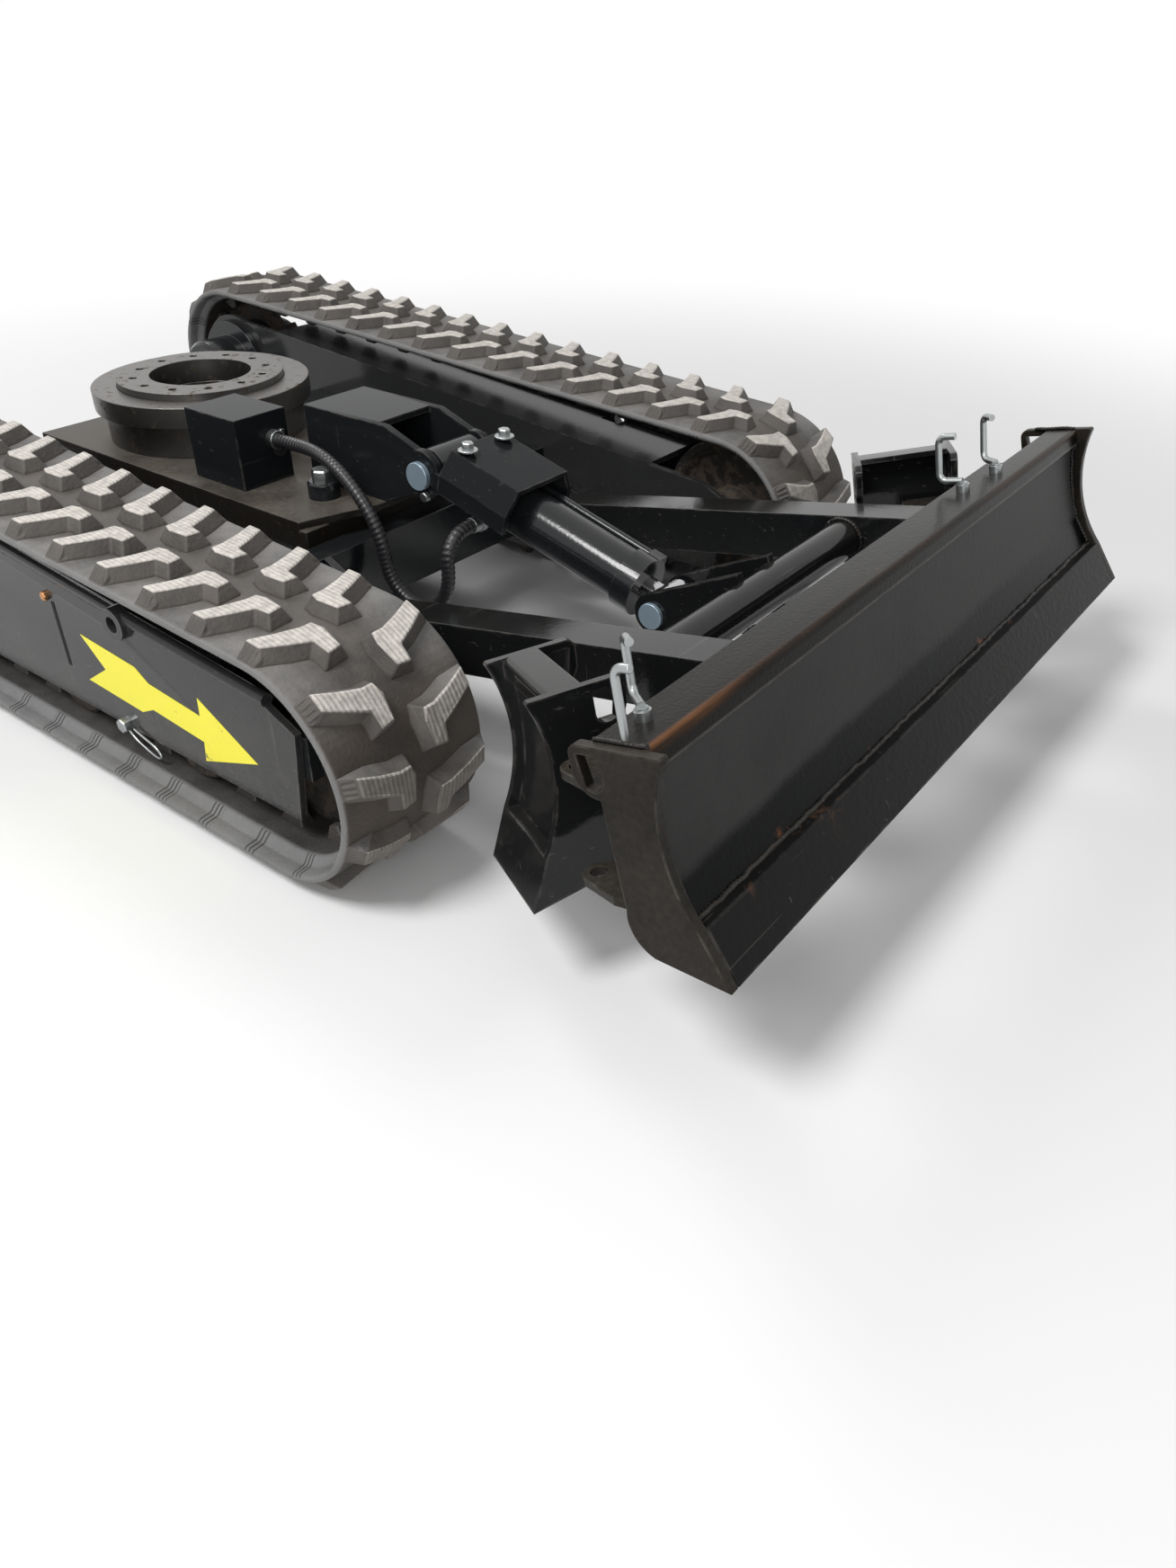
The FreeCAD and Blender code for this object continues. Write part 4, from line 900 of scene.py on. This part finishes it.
def makeWelds():
    form = bmesh.new()
    bead(form, [onBlade(x, 33.2 + 0.7 * math.sin(x / 19), 45.6) for x in range(-438, 440, 12)], 0.0030)
    for sign in (-1, 1):
        x = sign * weld["endPlate"]
        curve = ((33, 50), (46, 80), (51.5, 105), (53, 130), (52.5, 160), (46, 168))
        bead(form, [onBlade(x, y, z) for y, z in curve], 0.0028, sign)
        bead(form, [onBlade(x, y, 186) for y in (50, 65, 80, 96)], 0.0022, sign)
        for arm in (180, 230):
            edge = sign * arm
            bead(form, [onBlade(edge, 62, z) for z in (72, 100, 130, 150)], 0.0032, edge)
    addPiece("blade_welds", form, "blade", "weld", 0.0, 70)
    seat = onBlade(*weld["armSeat"])
    tube = seat + (at(*weld["armPivot"]) - seat).normalized() * weld["tubeBack"] * millimetre
    for side, sign in sides:
        low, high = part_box("blade_arm_" + side)
        inner = min(abs(low.x), abs(high.x)) - 0.0005
        form = bmesh.new()
        ring = ringPoints(Vector((sign * inner, tube.y, tube.z)), Vector((1, 0, 0)), weld["tubeRadius"])
        bead(form, ring, 0.003, sign)
        addPiece("arm_welds_" + side, form, "blade", "weld", 0.0, 70)


makeWelds()
print("welds made")


# Bolts, the arrow and other small fittings. Places in metres, but those passed to at are in millimetres.
fittings = {"lugProud": 0.007, "motorBolts": 9, "motorCircle": 0.048, "motorFlats": 0.008, "motorDepth": 0.0065,
            "wire": [(-170, 64), (-180, 54), (-194, 49), (-210, 44), (-224, 42), (-230, 48), (-222, 56),
                     (-202, 61), (-184, 66)], "wireRadius": 0.0016}


# The outer face of a track frame's outer plate, on which the tie-down lug stands proud
def plateFace(side, sign):
    low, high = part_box("track_frame_" + side)
    return (high.x if sign > 0 else low.x) - sign * fittings["lugProud"]


def makeBolts():
    form, boss, copper, seam = bmesh.new(), bmesh.new(), bmesh.new(), bmesh.new()
    up, forward = Vector((0, 0, 1)), Vector((0, -1, 0))
    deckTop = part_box("centre_frame")[1].z
    place = Vector((at(-85, 0, 0).x, at(0, -120, 0).y, deckTop))
    spin(boss, place - Vector((0, 0, 0.004)), up, [(0.020, 0), (0.020, 0.022), (0.018, 0.025)])
    hexBolt(form, place + Vector((0, 0, 0.0205)), up, 0.024, washer=False, turn=0.3)
    coverLow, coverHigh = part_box("cylinder_cover")
    for x in (-34, 30):
        place = Vector((x * millimetre, coverLow.y + 0.085, coverHigh.z - 0.0002))
        hexBolt(form, place, up, 0.013, turn=0.2)
    place = Vector((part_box("cylinder_bracket")[0].x, at(0, -270, 0).y, 0.236))
    hexBolt(form, place, Vector((-1, 0, 0)), 0.011, washer=False, turn=0.2)
    boxLow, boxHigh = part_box("hose_box")
    front = Vector((boxHigh.x - 0.016, boxLow.y, middleOf("hose_gland").z))
    spin(seam, front + Vector((0, 0.001, -0.014)), forward, [(0.0115, 0), (0.0115, 0.0016), (0.0108, 0.0018)])
    hexBolt(form, front + Vector((0.004, 0.0002, 0.006)), forward, 0.007, washer=False)
    place = Vector((at(-42, 0, 0).x, at(0, -148, 0).y, deckTop - 0.003))
    spin(boss, place, up, [(0.009, 0), (0.009, 0.019), (0.007, 0.021)])
    for side, sign in sides:
        outer = plateFace(side, sign)
        axis = Vector((sign, 0, 0))
        motor = middleOf("travel_motor_" + side)
        motorLow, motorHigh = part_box("travel_motor_" + side)
        face = (motorHigh.x if sign > 0 else motorLow.x) - sign * fittings["motorDepth"]
        for k in range(fittings["motorBolts"]):
            a = 2 * math.pi * k / fittings["motorBolts"]
            y, z = fittings["motorCircle"] * math.cos(a), fittings["motorCircle"] * math.sin(a)
            place = Vector((face, motor.y + y, motor.z + z))
            hexBolt(form, place, axis, fittings["motorFlats"], washer=False, turn=a)
        hexBolt(form, Vector((outer, at(0, -168, 0).y, 0.066)), axis, 0.016, washer=False, turn=0.4)
        wire = splinePoints([at(0, y, z) for y, z in fittings["wire"]], 4)
        sweep(form, [Vector((outer + sign * 0.0035, point.y, point.z)) for point in wire],
              circleOutline(fittings["wireRadius"], 8))
        spin(copper, Vector((outer - sign * 0.001, at(0, -62, 0).y, 0.190)), axis,
             [(0.0055, 0), (0.0055, 0.004), (0.004, 0.0055)])
        for y in (-75, -72):
            sweep(seam, [Vector((outer + sign * 0.0002, at(0, y, 0).y, z)) for z in (0.108, 0.186)],
                  circleOutline(0.0009, 6))
    addPiece("plate_plugs", copper, "undercarriage", "copper", 0.0003, 40)
    addPiece("plate_seams", seam, "undercarriage", "dark")
    addPiece("bolts", form, "undercarriage", "zinc", 0.0005, 40)
    addPiece("bolt_boss", boss, "undercarriage", "black_paint", 0.0006, 40)


makeBolts()

# The arrow on each track frame points forward. Millimetres rearward and up from the machine's datum.
arrow = {"outline": [(-116, 160), (-213, 152), (-233, 139), (-318, 131), (-320, 153), (-403, 107), (-311, 74),
                     (-315, 99), (-230, 106), (-207, 95), (-108, 101), (-151, 128)], "thickness": 0.0004}


def makeArrow(side, sign):
    plate = plateFace(side, sign)
    form = bmesh.new()
    inner, face = [[form.verts.new((plate + sign * proud, at(0, y, 0).y, z * millimetre))
                    for y, z in arrow["outline"]] for proud in (-0.001, arrow["thickness"])]
    bridge(form, inner, face)
    form.faces.new(face)
    addPiece("arrow_" + side, form, "undercarriage", "arrow_yellow")


for side, sign in sides:
    makeArrow(side, sign)
print("fittings made")

# Floor, backdrop and light
studio = {"floor": (0.90, 0.90, 0.90, 1), "surround": 0.38, "fadeFrom": 1.0, "fadeTo": 2.6, "floorHalf": 9,
          "aim": (0, 0, 0.1)}
lamps = {"key": {"place": (-2.1, 0.1, 3.1), "size": 1.2, "power": 85.0},
         "fill": {"place": (-3.0, -2.6, 1.6), "size": 2.2, "power": 36.0},
         "rim": {"place": (1.0, 2.7, 3.3), "size": 1.4, "power": 32.0}}


def makeStage():
    form = bmesh.new()
    for x, y in corners:
        form.verts.new((x * studio["floorHalf"], y * studio["floorHalf"], 0))
    form.faces.new(form.verts)
    mesh = bpy.data.meshes.new("floor")
    form.to_mesh(mesh)
    form.free()
    floor = bpy.data.objects.new("floor", mesh)
    material, tree, shader = startMaterial("floor")
    place = addNode(tree, "ShaderNodeTexCoord").outputs["Object"]
    away = addNode(tree, "ShaderNodeVectorMath", {"operation": "LENGTH"}, i0=place).outputs["Value"]
    shown = math2(tree, "SUBTRACT", 1.0, ramp(tree, away, studio["fadeFrom"], studio["fadeTo"]), True)
    feed(tree, shader, color=studio["floor"], roughness=0.9, specular=0.1, alpha=shown)
    mesh.materials.append(material)
    bpy.context.scene.collection.objects.link(floor)


def makeLamp(name, place, size, power):
    data = bpy.data.lights.new(name, "AREA")
    data.shape = "DISK"
    data.size = size
    data.energy = power
    light = bpy.data.objects.new(name, data)
    light.location = place
    light.rotation_euler = (Vector(studio["aim"]) - Vector(place)).to_track_quat("-Z", "Y").to_euler()
    bpy.context.scene.collection.objects.link(light)


def makeWorld():
    world = bpy.data.worlds.new("studio")
    bpy.context.scene.world = world
    world.use_nodes = True
    tree = world.node_tree
    background = tree.nodes["Background"]
    path = addNode(tree, "ShaderNodeLightPath")
    seen = math2(tree, "ADD", path.outputs["Is Camera Ray"], path.outputs["Is Glossy Ray"], True)
    seen = math2(tree, "ADD", seen, path.outputs["Is Transmission Ray"], True)
    level = mixColor(tree, seen, (studio["surround"],) * 3 + (1,), (1, 1, 1, 1))
    tree.links.new(level, background.inputs["Color"])
    background.inputs["Strength"].default_value = 1.0


makeStage()
makeWorld()
for name, lamp in lamps.items():
    makeLamp(name, **lamp)
bpy.context.scene.view_settings.view_transform = "Standard"
print("stage made")
